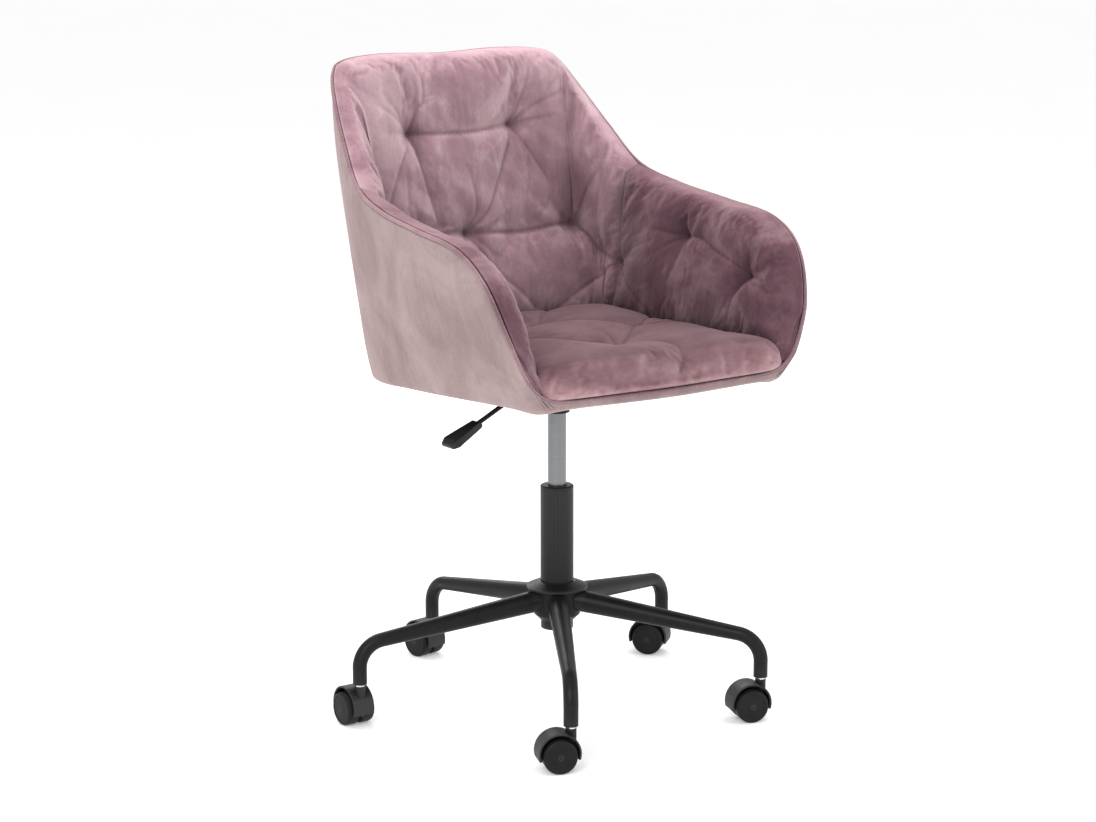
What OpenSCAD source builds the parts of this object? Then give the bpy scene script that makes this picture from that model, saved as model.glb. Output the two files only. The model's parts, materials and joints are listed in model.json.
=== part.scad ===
// Tufted velvet tub chair on a gas lift and a five-legged caster base.
// Millimetres, +Z up, floor at z = 0 under the column axis, the seat facing -Y.

/* [Base] */
// Distance from the column axis to each caster stem
leg_reach = 313; // [280:1:340]
// Turn of the first leg away from the front, about the column
leg_turn = -31.4; // [-36:0.1:36]
// Outside diameter of a leg where it leaves the hub
leg_root_d = 35; // [30:0.5:38]
// Outside diameter of a leg from its bend to its foot
leg_tip_d = 21.5; // [20:0.5:24]
// Fall of a leg below the horizontal, in degrees
leg_slope = 8; // [5:0.5:11]
// Radius of the bend at the end of a leg, on its centre line
bend_r = 40; // [32:1:48]
// Wall of the leg tube
leg_wall = 2; // [1.5:0.1:3]
// Height of a leg's foot above the floor
foot_z = 65; // [64:0.5:68]
// Underside of the hub
hub_z = 133; // [128:1:138]
// Radius of the hub's body
hub_r = 35; // [33:0.5:38]
// Radius of the flange on top of the hub
flange_r = 46; // [42:0.5:50]

/* [Casters] */
// Wheel diameter
wheel_d = 50; // [48:0.5:52]
// Distance from the stem's axis to the axle
trail = 19; // [17:0.5:21]
// Direction in which each caster trails, in degrees from +X towards +Y, one for each leg
swivel_turns = [158, 162, 130, 100, 90]; // [0:1:359]

/* [Gas lift] */
// Outside diameter of the column tube
column_d = 50; // [48:0.5:52]
// Top of the column tube
column_top = 336; // [330:1:340]
// Outside diameter of the gas cylinder
cylinder_d = 28; // [27:0.5:29]
// Travel of the seat
stroke = 100; // [60:5:100]
// Gap between parts that slide or turn in one another
fit_gap = 0.05; // [0.02:0.01:0.1]

/* [Seat shell] */
// Height of the back's top edge
back_top_z = 960; // [940:1:980]
// Half width of the back's straight top edge
back_top_x = 106; // [96:1:116]
// Half width over the arms, at the piping
arm_x = 281; // [270:1:290]
// Height of the arms at the piping
arm_z = 745; // [735:1:755]
// Front edge of the seat at the piping
front_y = -288; // [-295:1:-280]
// Height of the piping on the seat's front edge
front_z = 533; // [529:1:537]
// Rise of the seat's underside from back to front, in degrees
seat_tilt = 2.8; // [2:0.1:3.5]
// Thickness of the outer cover with its foam backing
cover_t = 4; // [3:0.5:5]
// Room left in the walls for the frame
frame_gap = 14; // [13:0.5:15]
// Outside diameter of the frame tube
frame_d = 10; // [8:0.5:10]
// Diameter of the piping
piping_d = 6; // [5:0.5:6]
// How far the outer cover stands proud between its edges
cover_bulge = 8; // [4:0.5:10]
// Thickness of the seat board
board_t = 12; // [10:0.5:15]

/* [Hidden] */
$fn = 48;

black = "#202022";
steel = "#a8abb0";
velvet = "#8f7079";
ply = "#c9a877";
legs = 5;

// ---------------------------------------------------------------- general

function mix(a, b, t) = a + (b - a) * t;
function ease(t) = t * t * (3 - 2 * t);
function clamp01(t) = min(1, max(0, t));
function unit(v) = v / norm(v);

// A ring of rectangular section about Z
module ring(r_in, r_out, z0, z1) {
    rotate_extrude() translate([r_in, z0]) square([r_out - r_in, z1 - z0]);
}

// Copies children to each leg, where the leg's own frame runs out along -Y
module at_leg(i) {
    rotate([0, 0, leg_turn + i * 360 / legs]) children();
}

module at_each_leg() {
    for (i = [0:legs - 1]) at_leg(i) children();
}

// A solid skinned over equal rings of points, closed into a loop or capped at its ends.
// Each ring is two rows that pair up, so a cap is a strip between the rows.
module skin(rings, loop = false) {
    n = len(rings[0]);
    m = len(rings);
    sides = [for (i = [0:m - (loop ? 1 : 2)], j = [0:n - 1])
        let (k = (i + 1) % m, l = (j + 1) % n, a = i * n + j, b = i * n + l, c = k * n + l, d = k * n + j)
        each [[a, b, c], [a, c, d]]];
    start = [for (j = [0:n / 2 - 2]) each [[j, n - 2 - j, j + 1], [j, n - 1 - j, n - 2 - j]]];
    end = [for (f = start) [for (k = [2:-1:0]) f[k] + (m - 1) * n]];
    polyhedron([for (r = rings) each r], loop ? sides : concat(sides, start, end), convexity = 8);
}

// ---------------------------------------------------------------- base

column_r = column_d / 2;
hub_h = 60; // height of the hub
sleeve_h = 22; // length of the sleeve in each foot
socket_taper = 0.6; // how much the column narrows inside the hub
leg_root_z = hub_z + 35; // height of the legs' axes at the column
tip_r = leg_tip_d / 2;
bend_angle = 90 - leg_slope;
seam_lap = 1.5; // how far the straight parts reach into the bend
seam_step = 0.1; // how much thinner they are than the bend there

// The leg's outline grown by g, from inside the hub to its foot, in the plane of -Y and Z
module leg_solid(g, foot_extra) {
    bend_y = leg_reach - bend_r; // where the bend's centre stands
    start_y = bend_y + bend_r * sin(leg_slope); // where the straight part ends
    start_z = leg_root_z - start_y * tan(leg_slope);
    bend_z = start_z - bend_r * cos(leg_slope);
    length = start_y / cos(leg_slope);
    r = tip_r + g - seam_step;
    translate([0, -start_y, start_z]) rotate([-90 + leg_slope, 0, 0]) translate([0, 0, -seam_lap])
        cylinder(h = length + seam_lap, r1 = r, r2 = leg_root_d / 2 + g);
    translate([0, -bend_y, bend_z]) rotate([90, 0, -90])
        rotate_extrude(angle = bend_angle) translate([bend_r, 0]) circle(r = tip_r + g);
    translate([0, -leg_reach, foot_z - foot_extra])
        cylinder(h = bend_z + seam_lap - foot_z + foot_extra, r = r);
}

module leg(i) {
    color(black) at_leg(i) difference() {
        leg_solid(0, 0);
        leg_solid(-leg_wall, 1);
        translate([0, 0, hub_z - 40]) cylinder(h = 140, r = hub_r + fit_gap);
    }
}

module base_hub() {
    top = hub_z + hub_h;
    color(black) difference() {
        rotate_extrude() polygon([
            [0, hub_z], [hub_r - 9, hub_z], [hub_r, hub_z + 9], [hub_r, top - 11],
            [flange_r, top - 11], [flange_r, top - 8], [column_r + 3, top], [0, top]
        ]);
        translate([0, 0, hub_z - 1])
            cylinder(h = hub_h + 2, r1 = column_r - socket_taper + fit_gap, r2 = column_r + fit_gap);
    }
}

// Sleeve pressed into each foot, which holds the caster's stem
module stem_sockets() {
    color(black) at_each_leg() translate([0, -leg_reach, foot_z]) difference() {
        cylinder(h = sleeve_h, r = tip_r - leg_wall - seam_step - fit_gap);
        translate([0, 0, -1]) cylinder(h = sleeve_h + 2, r = stem_r + 0.1);
    }
}

// ---------------------------------------------------------------- casters

stem_r = 5.5;
pivot_r = 4.5;
axle_r = 3;
wheel_r = wheel_d / 2;
wheel_in = 3.2; // inner face of a wheel from the caster's middle plane
wheel_out = 22.5; // outer face
axle_l = 36;
web_half = wheel_in - 0.7; // half thickness of the web between the wheels
wheel_room = wheel_r + 1.4; // radius kept clear round each wheel
fender_half = 17; // half width of the hood over the treads
fender_rise = 3; // height of the hood's centre above the axle
fender_in = wheel_r + 3.2;
fender_out = wheel_r + 6;
boss_top = foot_z - 3.5;
boss_h = 20.5;

// Caster frame: stem on Z at the leg's foot, the axle trailing along +X and lying along Y
module at_caster(i) {
    turn = swivel_turns[i] - leg_turn - i * 360 / legs;
    at_leg(i) translate([0, -leg_reach, 0]) rotate([0, 0, turn]) children();
}

module caster_stems() {
    color(steel) at_each_leg() translate([0, -leg_reach, 0]) difference() {
        union() {
            translate([0, 0, foot_z - 19]) cylinder(h = 20, r = pivot_r);
            translate([0, 0, foot_z - 3]) cylinder(h = 2.5, r = 7);
            translate([0, 0, foot_z - 0.5]) cylinder(h = sleeve_h - 1.5, r = stem_r);
        }
        translate([0, 0, foot_z + 12]) ring(stem_r - 0.8, stem_r + 1, 0, 5);
    }
}

// Split ring that grips each stem in its sleeve
module grip_rings() {
    color(steel) at_each_leg() translate([0, -leg_reach, foot_z + 12.5]) difference() {
        ring(stem_r - 0.6, stem_r + 0.05, 0, 4);
        translate([0, -0.8, -1]) cube([10, 1.6, 6]);
    }
}

// A bar across the caster at its axle
module across_axle(h, r) {
    translate([trail, 0, wheel_r]) rotate([90, 0, 0]) cylinder(h = h, r = r, center = true);
}

module caster_hood(i) {
    color(black) at_caster(i) difference() {
        union() {
            // hood over both treads, cut off just below the axle
            translate([trail, 0, wheel_r]) intersection() {
                translate([0, 0, fender_rise]) rotate([90, 0, 0]) difference() {
                    cylinder(h = 2 * fender_half, r = fender_out, center = true);
                    cylinder(h = 2 * fender_half + 2, r = fender_in, center = true);
                }
                translate([-40, -40, -6]) cube([80, 80, 60]);
            }
            // web between the wheels, which holds the axle
            translate([trail, 0, wheel_r]) intersection() {
                translate([0, 0, fender_rise]) rotate([90, 0, 0])
                    cylinder(h = 2 * web_half, r = fender_in + 0.5, center = true);
                translate([-40, -40, -10]) cube([80, 80, 60]);
            }
            // boss round the stem
            translate([0, 0, boss_top - boss_h]) cylinder(h = boss_h, r = 8);
        }
        translate([0, 0, foot_z - 19.5]) cylinder(h = 30, r = pivot_r + fit_gap);
        for (side = [-1, 1]) translate([trail, side * web_half, wheel_r]) rotate([-90 * side, 0, 0])
            cylinder(h = 30, r = wheel_room);
        across_axle(20, axle_r + fit_gap);
    }
}

module caster_axle(i) {
    color(steel) at_caster(i) across_axle(axle_l, axle_r);
}

// One wheel, side -1 or 1 of the caster's middle plane, with a dished outer face and a blind bore
module caster_wheel(i, side) {
    w = wheel_out - wheel_in;
    place = [trail, side * wheel_in, wheel_r];
    color(black) at_caster(i) translate(place) rotate([-90 * side, 0, 0]) difference() {
        rotate_extrude() polygon([
            [0, 0], [wheel_r - 2, 0], [wheel_r, 2], [wheel_r, w - 4], [wheel_r - 0.8, w - 1.6],
            [wheel_r - 2.6, w - 0.4], [wheel_r - 4.5, w], [wheel_r - 5.5, w - 0.7], [0, w + 0.2]
        ]);
        translate([0, 0, -1]) cylinder(h = axle_l / 2 - wheel_in + 1.5, r = axle_r + fit_gap);
    }
}

// ---------------------------------------------------------------- gas lift

cylinder_r = cylinder_d / 2;
column_bottom = 120;
bush_bottom = column_top - 74;
cylinder_bottom = column_top - 82;
cylinder_top = 484;
tube_wall = 2; // of the column and of the cylinder
taper_h = 44; // length of the cylinder's tapered end
taper_d = 0.7; // how much its radius falls over that length
rod_r = 5;
lift_above = 10; // part of the travel left above the height drawn
piston_z = cylinder_bottom + 14 + lift_above;
taper_z = cylinder_top - taper_h;

module column_tube() {
    color(black) difference() {
        union() {
            translate([0, 0, column_bottom]) cylinder(h = hub_z - column_bottom, r = column_r - socket_taper);
            translate([0, 0, hub_z]) cylinder(h = hub_h, r1 = column_r - socket_taper, r2 = column_r);
            translate([0, 0, hub_z + hub_h]) cylinder(h = column_top - hub_z - hub_h, r = column_r);
        }
        translate([0, 0, bearing_z]) cylinder(h = 300, r = column_r - tube_wall);
        translate([0, 0, column_bottom - 1]) cylinder(h = 6, r = rod_r + fit_gap);
    }
}

// Plastic guide in the mouth of the column
module column_bush() {
    color(black) difference() {
        union() {
            translate([0, 0, bush_bottom])
                cylinder(h = column_top - bush_bottom, r = column_r - tube_wall - fit_gap);
            translate([0, 0, column_top]) cylinder(h = 3, r = column_r);
            translate([0, 0, column_top + 3]) cylinder(h = 1.5, r1 = column_r, r2 = column_r - 2);
        }
        translate([0, 0, bush_bottom - 1]) cylinder(h = 90, r = cylinder_r + fit_gap);
    }
}

bearing_z = column_bottom + 3;
race_r = 15;
race_t = 3;
ball_d = 5;
ball_gap = 0.02;

module bearing_lower_race() {
    color(steel) ring(rod_r + fit_gap, race_r, bearing_z, bearing_z + race_t);
}

module bearing_balls() {
    color(steel) for (k = [0:9]) rotate([0, 0, 36 * k])
        translate([10.5, 0, bearing_z + race_t + ball_d / 2 + ball_gap]) sphere(d = ball_d);
}

module bearing_upper_race() {
    z = bearing_z + race_t + ball_d + 2 * ball_gap;
    color(steel) ring(rod_r + fit_gap, race_r, z, z + race_t);
}

shoulder_z = bearing_z + 2 * race_t + ball_d + 4 * ball_gap;

// Rod with the shoulder that rides on the bearing and the piston inside the cylinder
module piston_rod() {
    color(steel) difference() {
        union() {
            translate([0, 0, column_bottom - 5]) cylinder(h = piston_z - column_bottom + 6, r = rod_r);
            translate([0, 0, shoulder_z]) cylinder(h = 4, r = 8);
            translate([0, 0, piston_z]) cylinder(h = 10, r = cylinder_r - tube_wall - fit_gap);
        }
        translate([0, 0, column_bottom - 2.3]) ring(rod_r - 0.8, rod_r + 1, 0, 1.6);
    }
}

// Spring clip under the column that keeps the rod in it
module rod_clip() {
    color(steel) difference() {
        ring(rod_r - 0.75, rod_r + 4, column_bottom - 2.2, column_bottom - 0.8);
        translate([0, -2.5, column_bottom - 5]) cube([20, 5, 10]);
    }
}

module bump_stop() {
    color(black) ring(rod_r + fit_gap, 12, shoulder_z + 4.1, cylinder_bottom - stroke + lift_above - 0.5);
}

module gas_cylinder() {
    color(steel) difference() {
        union() {
            translate([0, 0, cylinder_bottom]) cylinder(h = taper_z - cylinder_bottom, r = cylinder_r);
            translate([0, 0, taper_z]) cylinder(h = taper_h, r1 = cylinder_r, r2 = cylinder_r - taper_d);
        }
        translate([0, 0, cylinder_bottom + 12])
            cylinder(h = cylinder_top - cylinder_bottom - 32, r = cylinder_r - tube_wall);
        translate([0, 0, cylinder_bottom - 1]) cylinder(h = 14, r = rod_r + fit_gap);
        translate([0, 0, cylinder_top - 9.8]) cylinder(h = 20, r = pin_r + fit_gap);
    }
}

pin_r = 3.5;
pin_top = cylinder_top + 3;

module release_pin() {
    color(steel) translate([0, 0, cylinder_top - 6]) cylinder(h = 9, r = pin_r);
}

// ---------------------------------------------------------------- mechanism

board_z = 509; // underside of the seat board over the column axis
plate_top = board_z - 1.6;
pan_x = 46;
pan_y = 52;
pan_z = 470;
bolt_x = 58;
bolt_y = 82;
pivot_x = -30;
lever_r = 3.5;
lever_z = pin_top + lever_r + 0.1;
lever_fall = 26.5; // slope of the lever outside the pan, in degrees
grip_start = 92; // distance from the lever's bend to its grip
grip_l = 58;
grip_hold = 20; // how far the rod reaches into the grip
lever_bend_x = -62;
lever_end = 3; // how far the short arm reaches past the middle of the release pin

// A bar along the lever's pivot
module across_pivot(h, r) {
    translate([pivot_x, 0, lever_z]) rotate([90, 0, 0]) cylinder(h = h, r = r, center = true);
}

// Everything bolted to the board leans with the seat
module tilted() {
    translate([0, 0, board_z]) rotate([-seat_tilt, 0, 0]) translate([0, 0, -board_z]) children();
}

module at_bolts() {
    for (x = [-bolt_x, bolt_x], y = [-bolt_y, bolt_y]) translate([x, y, 0]) children();
}

// A flat rounded rectangle of half size x by y with corner radius r
module round_rect(x, y, r) {
    square([2 * (x - r), 2 * y], center = true);
    square([2 * x, 2 * (y - r)], center = true);
    for (sx = [-1, 1], sy = [-1, 1]) translate([sx * (x - r), sy * (y - r)]) circle(r = r);
}

// Pressed steel pan with a flange that bolts to the board, and two ears for the lever's pin
module mechanism_plate() {
    color(black) difference() {
        union() {
            tilted() difference() {
                translate([0, 0, plate_top - 3]) linear_extrude(3) round_rect(75, 100, 12);
                translate([0, 0, plate_top - 9]) linear_extrude(20) round_rect(pan_x - 3, pan_y - 3, 8);
                translate([0, 0, plate_top - 9]) at_bolts() cylinder(h = 20, r = 4.2);
            }
            difference() {
                translate([0, 0, pan_z]) linear_extrude(plate_top - 3 - pan_z) round_rect(pan_x, pan_y, 10);
                translate([0, 0, pan_z + 2.5]) linear_extrude(60) round_rect(pan_x - 2.5, pan_y - 2.5, 7.5);
                tilted() translate([0, 0, plate_top - 0.5]) linear_extrude(20) round_rect(90, 90, 8);
            }
            for (side = [-1, 1]) translate([pivot_x - 6, side * 12 - 1.5, pan_z + 1])
                cube([12, 3, lever_z + 6 - pan_z - 1]);
        }
        translate([0, 0, pan_z - 1]) cylinder(h = 5, r = socket_r + fit_gap);
        across_pivot(60, axle_r + fit_gap);
        translate([-pan_x - 5, -6, lever_z - 9]) cube([12, 12, 18]);
    }
}

socket_r = 19;

// Tapered sleeve that wedges on the gas cylinder
module taper_socket() {
    color(black) difference() {
        union() {
            translate([0, 0, cylinder_top - 32]) cylinder(h = 31, r = socket_r);
            translate([0, 0, pan_z + 2.5]) cylinder(h = 3, r = 23);
        }
        translate([0, 0, taper_z])
            cylinder(h = taper_h, r1 = cylinder_r + fit_gap, r2 = cylinder_r - taper_d + fit_gap);
    }
}

module lever_pin() {
    color(steel) across_pivot(30, axle_r);
}

// Bent rod: a short arm over the release pin, an eye on the pivot, and the arm out to the grip
module lever_rod() {
    color(black) difference() {
        union() {
            translate([lever_end, 0, lever_z]) rotate([0, -90, 0])
                cylinder(h = lever_end - lever_bend_x, r = lever_r);
            translate([lever_bend_x, 0, lever_z]) sphere(r = lever_r);
            translate([lever_bend_x, 0, lever_z]) rotate([0, -90 - lever_fall, 0])
                cylinder(h = grip_start + grip_hold, r = lever_r);
            across_pivot(16, 6);
        }
        across_pivot(40, axle_r + fit_gap);
    }
}

// Bar across the grip at distance x along it, of length w and radius r
module grip_bar(x, z, w, r) {
    translate([-x, 0, z]) rotate([90, 0, 0]) cylinder(h = w, r = r, center = true, $fn = 32);
}

// Paddle grip, wider towards its end, with three finger ridges below
module lever_handle() {
    color(black) translate([lever_bend_x, 0, lever_z]) rotate([0, -lever_fall, 0])
        translate([-grip_start, 0, 0]) difference() {
            union() {
                hull() {
                    grip_bar(0, 0, 19, 5);
                    grip_bar(grip_l - 12, 0, 32, 6);
                    grip_bar(grip_l - 5, -0.5, 26, 4.5);
                }
                for (k = [0:2]) grip_bar(grip_l - 12 - 10 * k, -5, 24 - 2 * k, 2.6);
            }
            translate([10, 0, 0]) rotate([0, -90, 0]) cylinder(h = grip_hold + 10.5, r = lever_r + fit_gap);
        }
}

module mount_bolts() {
    z = plate_top - 3 - 1.5;
    color(steel) tilted() at_bolts() {
        translate([0, 0, z - 5]) cylinder(h = 5, r = 6, $fn = 6);
        translate([0, 0, z]) cylinder(h = 16, r = 3.9);
    }
}

module mount_washers() {
    color(steel) tilted() at_bolts() ring(4.1, 9, plate_top - 4.5, plate_top - 3);
}

// Threaded inserts with their flanges on top of the board
module tee_nuts() {
    color(steel) tilted() at_bolts() translate([0, 0, board_z]) difference() {
        union() {
            translate([0, 0, 3]) cylinder(h = board_t - 3, r = 5);
            translate([0, 0, board_t]) cylinder(h = 1.5, r = 10);
        }
        cylinder(h = 30, r = 4);
    }
}

// ---------------------------------------------------------------- shell

// Stations round one half of the chair, from the middle of the back to the middle of the front.
// The rim is where the piping runs. The foot is the lower edge of the outer cover.
// The lining is the inner face of the padding at seat level, and the lip its upper edge.
function foot_level(y) = board_z - y * tan(seat_tilt);
rim = [
    [0, 315, back_top_z], [back_top_x, 317, back_top_z + 3], [180, 304, back_top_z - 2],
    [205, 291, back_top_z - 18], [222, 259, back_top_z - 56], [240, 204, arm_z + 101],
    [256, 142, arm_z + 46], [arm_x - 11, 56, arm_z + 22], [arm_x - 3, -52, arm_z + 8],
    [arm_x, -157, arm_z - 6], [arm_x - 4, -220, arm_z - 44], [262, -256, arm_z - 114],
    [239, -266, front_z + 39], [213, -269, front_z + 9], [172, -271, front_z],
    [88, -280, front_z], [0, front_y, front_z]
];
foot_xy = [
    [0, 240], [92, 238], [158, 226], [189, 209], [207, 178], [216, 134], [218, 86], [218, 20],
    [218, -60], [217, -135], [215, -195], [209, -238], [199, -257], [184, -267], [150, -273], [75, -280],
    [0, front_y + 4]
];
// How much lower than the underside of the board's edge the foot hangs at each station
foot_drop = [8, 8, 8, 8, 8, 8, 7, 7, 6, 5, 5, 8, 7, 4, 2, 2, 2];
foot = [for (i = [0:len(foot_xy) - 1]) [foot_xy[i].x, foot_xy[i].y, foot_level(foot_xy[i].y) - foot_drop[i]]];
lining_z = 540;
lining_xy = [
    [0, 166], [72, 165], [120, 162], [150, 158], [172, 153], [188, 146], [197, 134], [199, 40],
    [201, -50], [202, -130], [201, -185], [197, -222], [190, -240], [178, -250]
];
lining = [for (p = lining_xy) [p.x, p.y, lining_z]];
lip_t = 26; // thickness of the walls at the lip
back_hollow = 22; // how far the back is scooped above the seat
wall_last = len(lining_xy) - 1;

// Catmull-Rom curve through stations p at u, mirrored past the middle of the back and of the front
function station(p, k, last) = k < 0 ? [-p[-k].x, p[-k].y, p[-k].z]
    : k > last ? [-p[2 * last - k].x, p[2 * last - k].y, p[2 * last - k].z] : p[k];
function curve_at(p, u, last) = let (i = floor(u), f = u - i,
    a = station(p, i - 1, last), b = station(p, i, last),
    c = station(p, i + 1, last), d = station(p, i + 2, last))
    b + 0.5 * f * (c - a + f * (2 * a - 5 * b + 4 * c - d + f * (3 * (b - c) + d - a)));
function side_curve(p, u, last) = let (q = curve_at(p, abs(u), last)) u < 0 ? [-q.x, q.y, q.z] : q;
loop_last = len(rim) - 1;
function rim_at(u) = side_curve(rim, u, loop_last);
function foot_at(u) = side_curve(foot, u, loop_last);
lining_ends = [lining[wall_last] + [-16, -4, 0], lining[wall_last]]; // carry the curve past its last station
function lining_at(u) = let (q = curve_at(concat(lining, lining_ends), min(abs(u), wall_last), wall_last + 1))
    u < 0 ? [-q.x, q.y, q.z] : q;

// Level unit vector out of the shell at u
function outward(u) = let (v = rim_at(u + 0.05) - rim_at(u - 0.05), w = foot_at(u + 0.05) - foot_at(u - 0.05),
    t = unit([v.x, v.y, 0]) + unit([w.x, w.y, 0])) unit([-t.y, t.x, 0]);
function out_dir(u) = let (p = abs(u) > loop_last - 0.1 ? [0, -1, 0] : outward(u), q = foot_at(u))
    p * (p * [q.x, q.y + 20, 0] < 0 ? -1 : 1);

// Outer face at u round the shell and t up it, and the inner face at the same place
function bulge(t) = 1 - pow(abs(2 * t - 1), 5);
function outer_at(u, t) = let (a = foot_at(u), b = rim_at(u), h = norm(b - a))
    mix(a, b, t) + out_dir(u) * bulge(t) * min(cover_bulge, h * 0.12);
function lip_at(u) = rim_at(u) - out_dir(u) * lip_t - [0, 0, abs(u) < 3 ? 6 : 4];
function hollow(u) = back_hollow * (1 - ease(clamp01((abs(u) - 3.5) / 3)));
// The scoop is deepest, at its full depth, a third of the way up
function inner_at(u, t) = mix(lining_at(u), lip_at(u), t)
    + out_dir(u) * hollow(u) * 6.75 * t * (1 - t) * (1 - t);
rows = 12;
hem_t = 2.5; // thickness of the cover at the piping
edge = piping_d / 2 + 1.8; // room for the piping, measured square to the rim
// Beside the front corners the rim runs down along the wall, so the cover stops short of it
corner_u = 11.8;
function corner(u) = ease(clamp01(1 - abs(abs(u) - corner_u) / 1.1));
function rim_t(u) = let (line = rim_at(u) - foot_at(u), along = unit(rim_at(u + 0.05) - rim_at(u - 0.05)))
    min(1 - edge / norm(cross(line, along)), 1 - 0.54 * corner(u));

// Outer cover: a sleeve round the whole shell, low across the front
module outer_cover() {
    step = 0.5;
    color(velvet) skin([for (u = [-loop_last:step:loop_last - step])
        let (top = rim_t(u))
        concat(
            [for (j = [0:rows]) outer_at(u, top * j / rows) - out_dir(u) * (j < rows ? cover_t : hem_t)],
            [for (j = [rows:-1:0]) outer_at(u, top * j / rows)]
        )], loop = true);
}

// Padding between u0 and u1, from behind the frame to the inner face
module padding(u0, u1, count) {
    low = 0.02;
    high = 0.985;
    color(velvet) skin([for (i = [0:count])
        let (u = mix(u0, u1, i / count))
        concat(
            [for (j = [0:rows]) inner_at(u, mix(low, high, j / rows))],
            [for (j = [rows:-1:0]) pad_back(u, mix(low, high, j / rows))]
        )]);
}

// Outer face at the height of the lining's own line, so that padding and cover match level for level
function level_t(u, t) = let (z = inner_at(u, t).z, a = foot_at(u).z, b = rim_at(u).z)
    clamp01((z - a) / (b - a));
function back_at(u, t) = outer_at(u, level_t(u, t));
function in_dir(u, t) = unit(inner_at(u, t) - back_at(u, t));
function below_rim(u, t) = rim_at(u).z - inner_at(u, t).z;
function pad_depth(u, t) = mix(cover_t + 3, cover_t + frame_gap, ease(clamp01((below_rim(u, t) - 10) / 10)));
function pad_back(u, t) = back_at(u, t) + in_dir(u, t) * pad_depth(u, t);

seam_u = 6; // where the back's padding meets the arm's
module back_cushion() { padding(-seam_u + 0.03, seam_u - 0.03, 32); }
module arm_cushion_left() { padding(seam_u + 0.03, wall_last - 1.1, 20); }
module arm_cushion_right() { mirror([1, 0, 0]) arm_cushion_left(); }

// A round tube along points p, with a level vector across it at each point
module tube(p, across, r, loop = false, sides = 12) {
    n = len(p);
    skin([for (i = [0:n - 1])
        let (a = p[loop ? (i + n - 1) % n : max(0, i - 1)], b = p[loop ? (i + 1) % n : min(n - 1, i + 1)],
            t = unit(b - a), c = unit(across[i] - t * (across[i] * t)), d = cross(t, c))
        [for (k = [0:sides - 1]) p[i] + r * (cos(360 * k / sides) * c - sin(360 * k / sides) * d)]], loop);
}

// Piping sewn into the seam right round the rim
module rim_piping() {
    step = 0.25;
    at = [for (u = [-loop_last:step:loop_last - step]) u];
    color(velvet) tube([for (u = at) rim_at(u)], [for (u = at) out_dir(u)], piping_d / 2, loop = true);
}

// Height in the frame gap, as a place up the padding, at drop below the rim
function t_below(u, drop) = clamp01(1 - (drop - 5) / (lip_at(u).z - lining_z));
function gap_at(u, t) = 0.5 * (back_at(u, t) - out_dir(u) * cover_t + pad_back(u, t));
frame_end = 10;
frame_drop = 52;
upright_u = [2, 5, 10];
tab_u = [2, 5, 9.4];
board_top = board_z + board_t;
board_in = 8; // how far the board's edge stands inside the foot of the cover

rail_rise = frame_d / 2 + 1.2; // height of the lower rail's centre above the board

// Centre of the frame's lower tube, just above the board's edge
function lower_at(u) = let (p = foot_at(u), z = board_top - p.y * tan(seat_tilt) + rail_rise,
    h = rim_at(u).z - p.z)
    let (q = outer_at(u, (z - p.z) / h)) q - out_dir(u) * (cover_t + frame_gap / 2);

// Welded tube frame: a rail under the rim, a rail round the board, uprights between them, and screw tabs
module shell_frame() {
    r = frame_d / 2;
    us = [for (u = [-frame_end:0.25:frame_end]) u];
    top = [for (u = us) gap_at(u, t_below(u, min(frame_drop, 0.6 * (rim_at(u).z - lining_z))))];
    low = [for (u = us) lower_at(u)];
    color(steel) difference() {
        union() {
            tube(top, [for (u = us) out_dir(u)], r);
            tube(low, [for (u = us) out_dir(u)], r);
            for (side = [-1, 1], k = [0:len(upright_u) - 1]) {
                u = side * upright_u[k];
                high = t_below(u, frame_drop);
                line = concat([lower_at(u)], [for (j = [0:6]) gap_at(u, mix(0.04, high, j / 6))]);
                tube(line, [for (p = line) out_dir(u)], r);
            }
            at_each_tab() translate([0, 0, 1.05]) cube([36, 24, 2], center = true);
        }
        at_each_tab() translate([screw_x, 0, -5]) cylinder(h = 20, r = screw_r + 0.3);
    }
}

screw_r = 2.5;
screw_x = 8; // place of the screw along its tab
tab_reach = 18; // from the lower rail to the middle of a tab

// On top of the board, where each tab reaches in from the lower rail
module at_each_tab() {
    for (side = [-1, 1], u = tab_u) {
        d = out_dir(side * u);
        p = lower_at(side * u) - d * tab_reach;
        tilted() translate([p.x, p.y, board_top]) rotate([0, 0, atan2(-d.y, -d.x)]) children();
    }
}

module frame_screws() {
    color(steel) at_each_tab() translate([screw_x, 0, 0]) {
        translate([0, 0, -9]) cylinder(h = 12, r = screw_r);
        translate([0, 0, 2.1]) cylinder(h = 2, r = 4.5);
    }
}

// Board's outline with its edge d inside the foot of the cover
module board_plan(d) {
    polygon([for (u = [-loop_last:0.25:loop_last - 0.25]) let (p = foot_at(u) - out_dir(u) * d) [p.x, p.y]]);
}

module seat_board() {
    color(ply) difference() {
        tilted() translate([0, 0, board_z]) linear_extrude(board_t) board_plan(board_in);
        tilted() at_bolts() translate([0, 0, board_z - 1]) cylinder(h = board_t + 2, r = 5 + fit_gap);
        at_each_tab() translate([screw_x, 0, -9.5]) cylinder(h = 12, r = screw_r + fit_gap);
    }
}

// Thin cloth stapled under the board
module dust_cover() {
    color(black) tilted() difference() {
        translate([0, 0, board_z - 1.4]) linear_extrude(1.3) board_plan(board_in);
        at_bolts() translate([0, 0, board_z - 3]) cylinder(h = 5, r = 6);
    }
}

seat_top = 578;
seat_front = [[165, -264], [130, -274], [66, -281], [0, -285]];
seat_xy = concat([for (p = lining_xy) [p.x, p.y, 0]], [for (p = seat_front) [p.x, p.y, 0]]);
seat_last = len(seat_xy) - 1;
seat_mid = [0, -60, 0];

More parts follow.
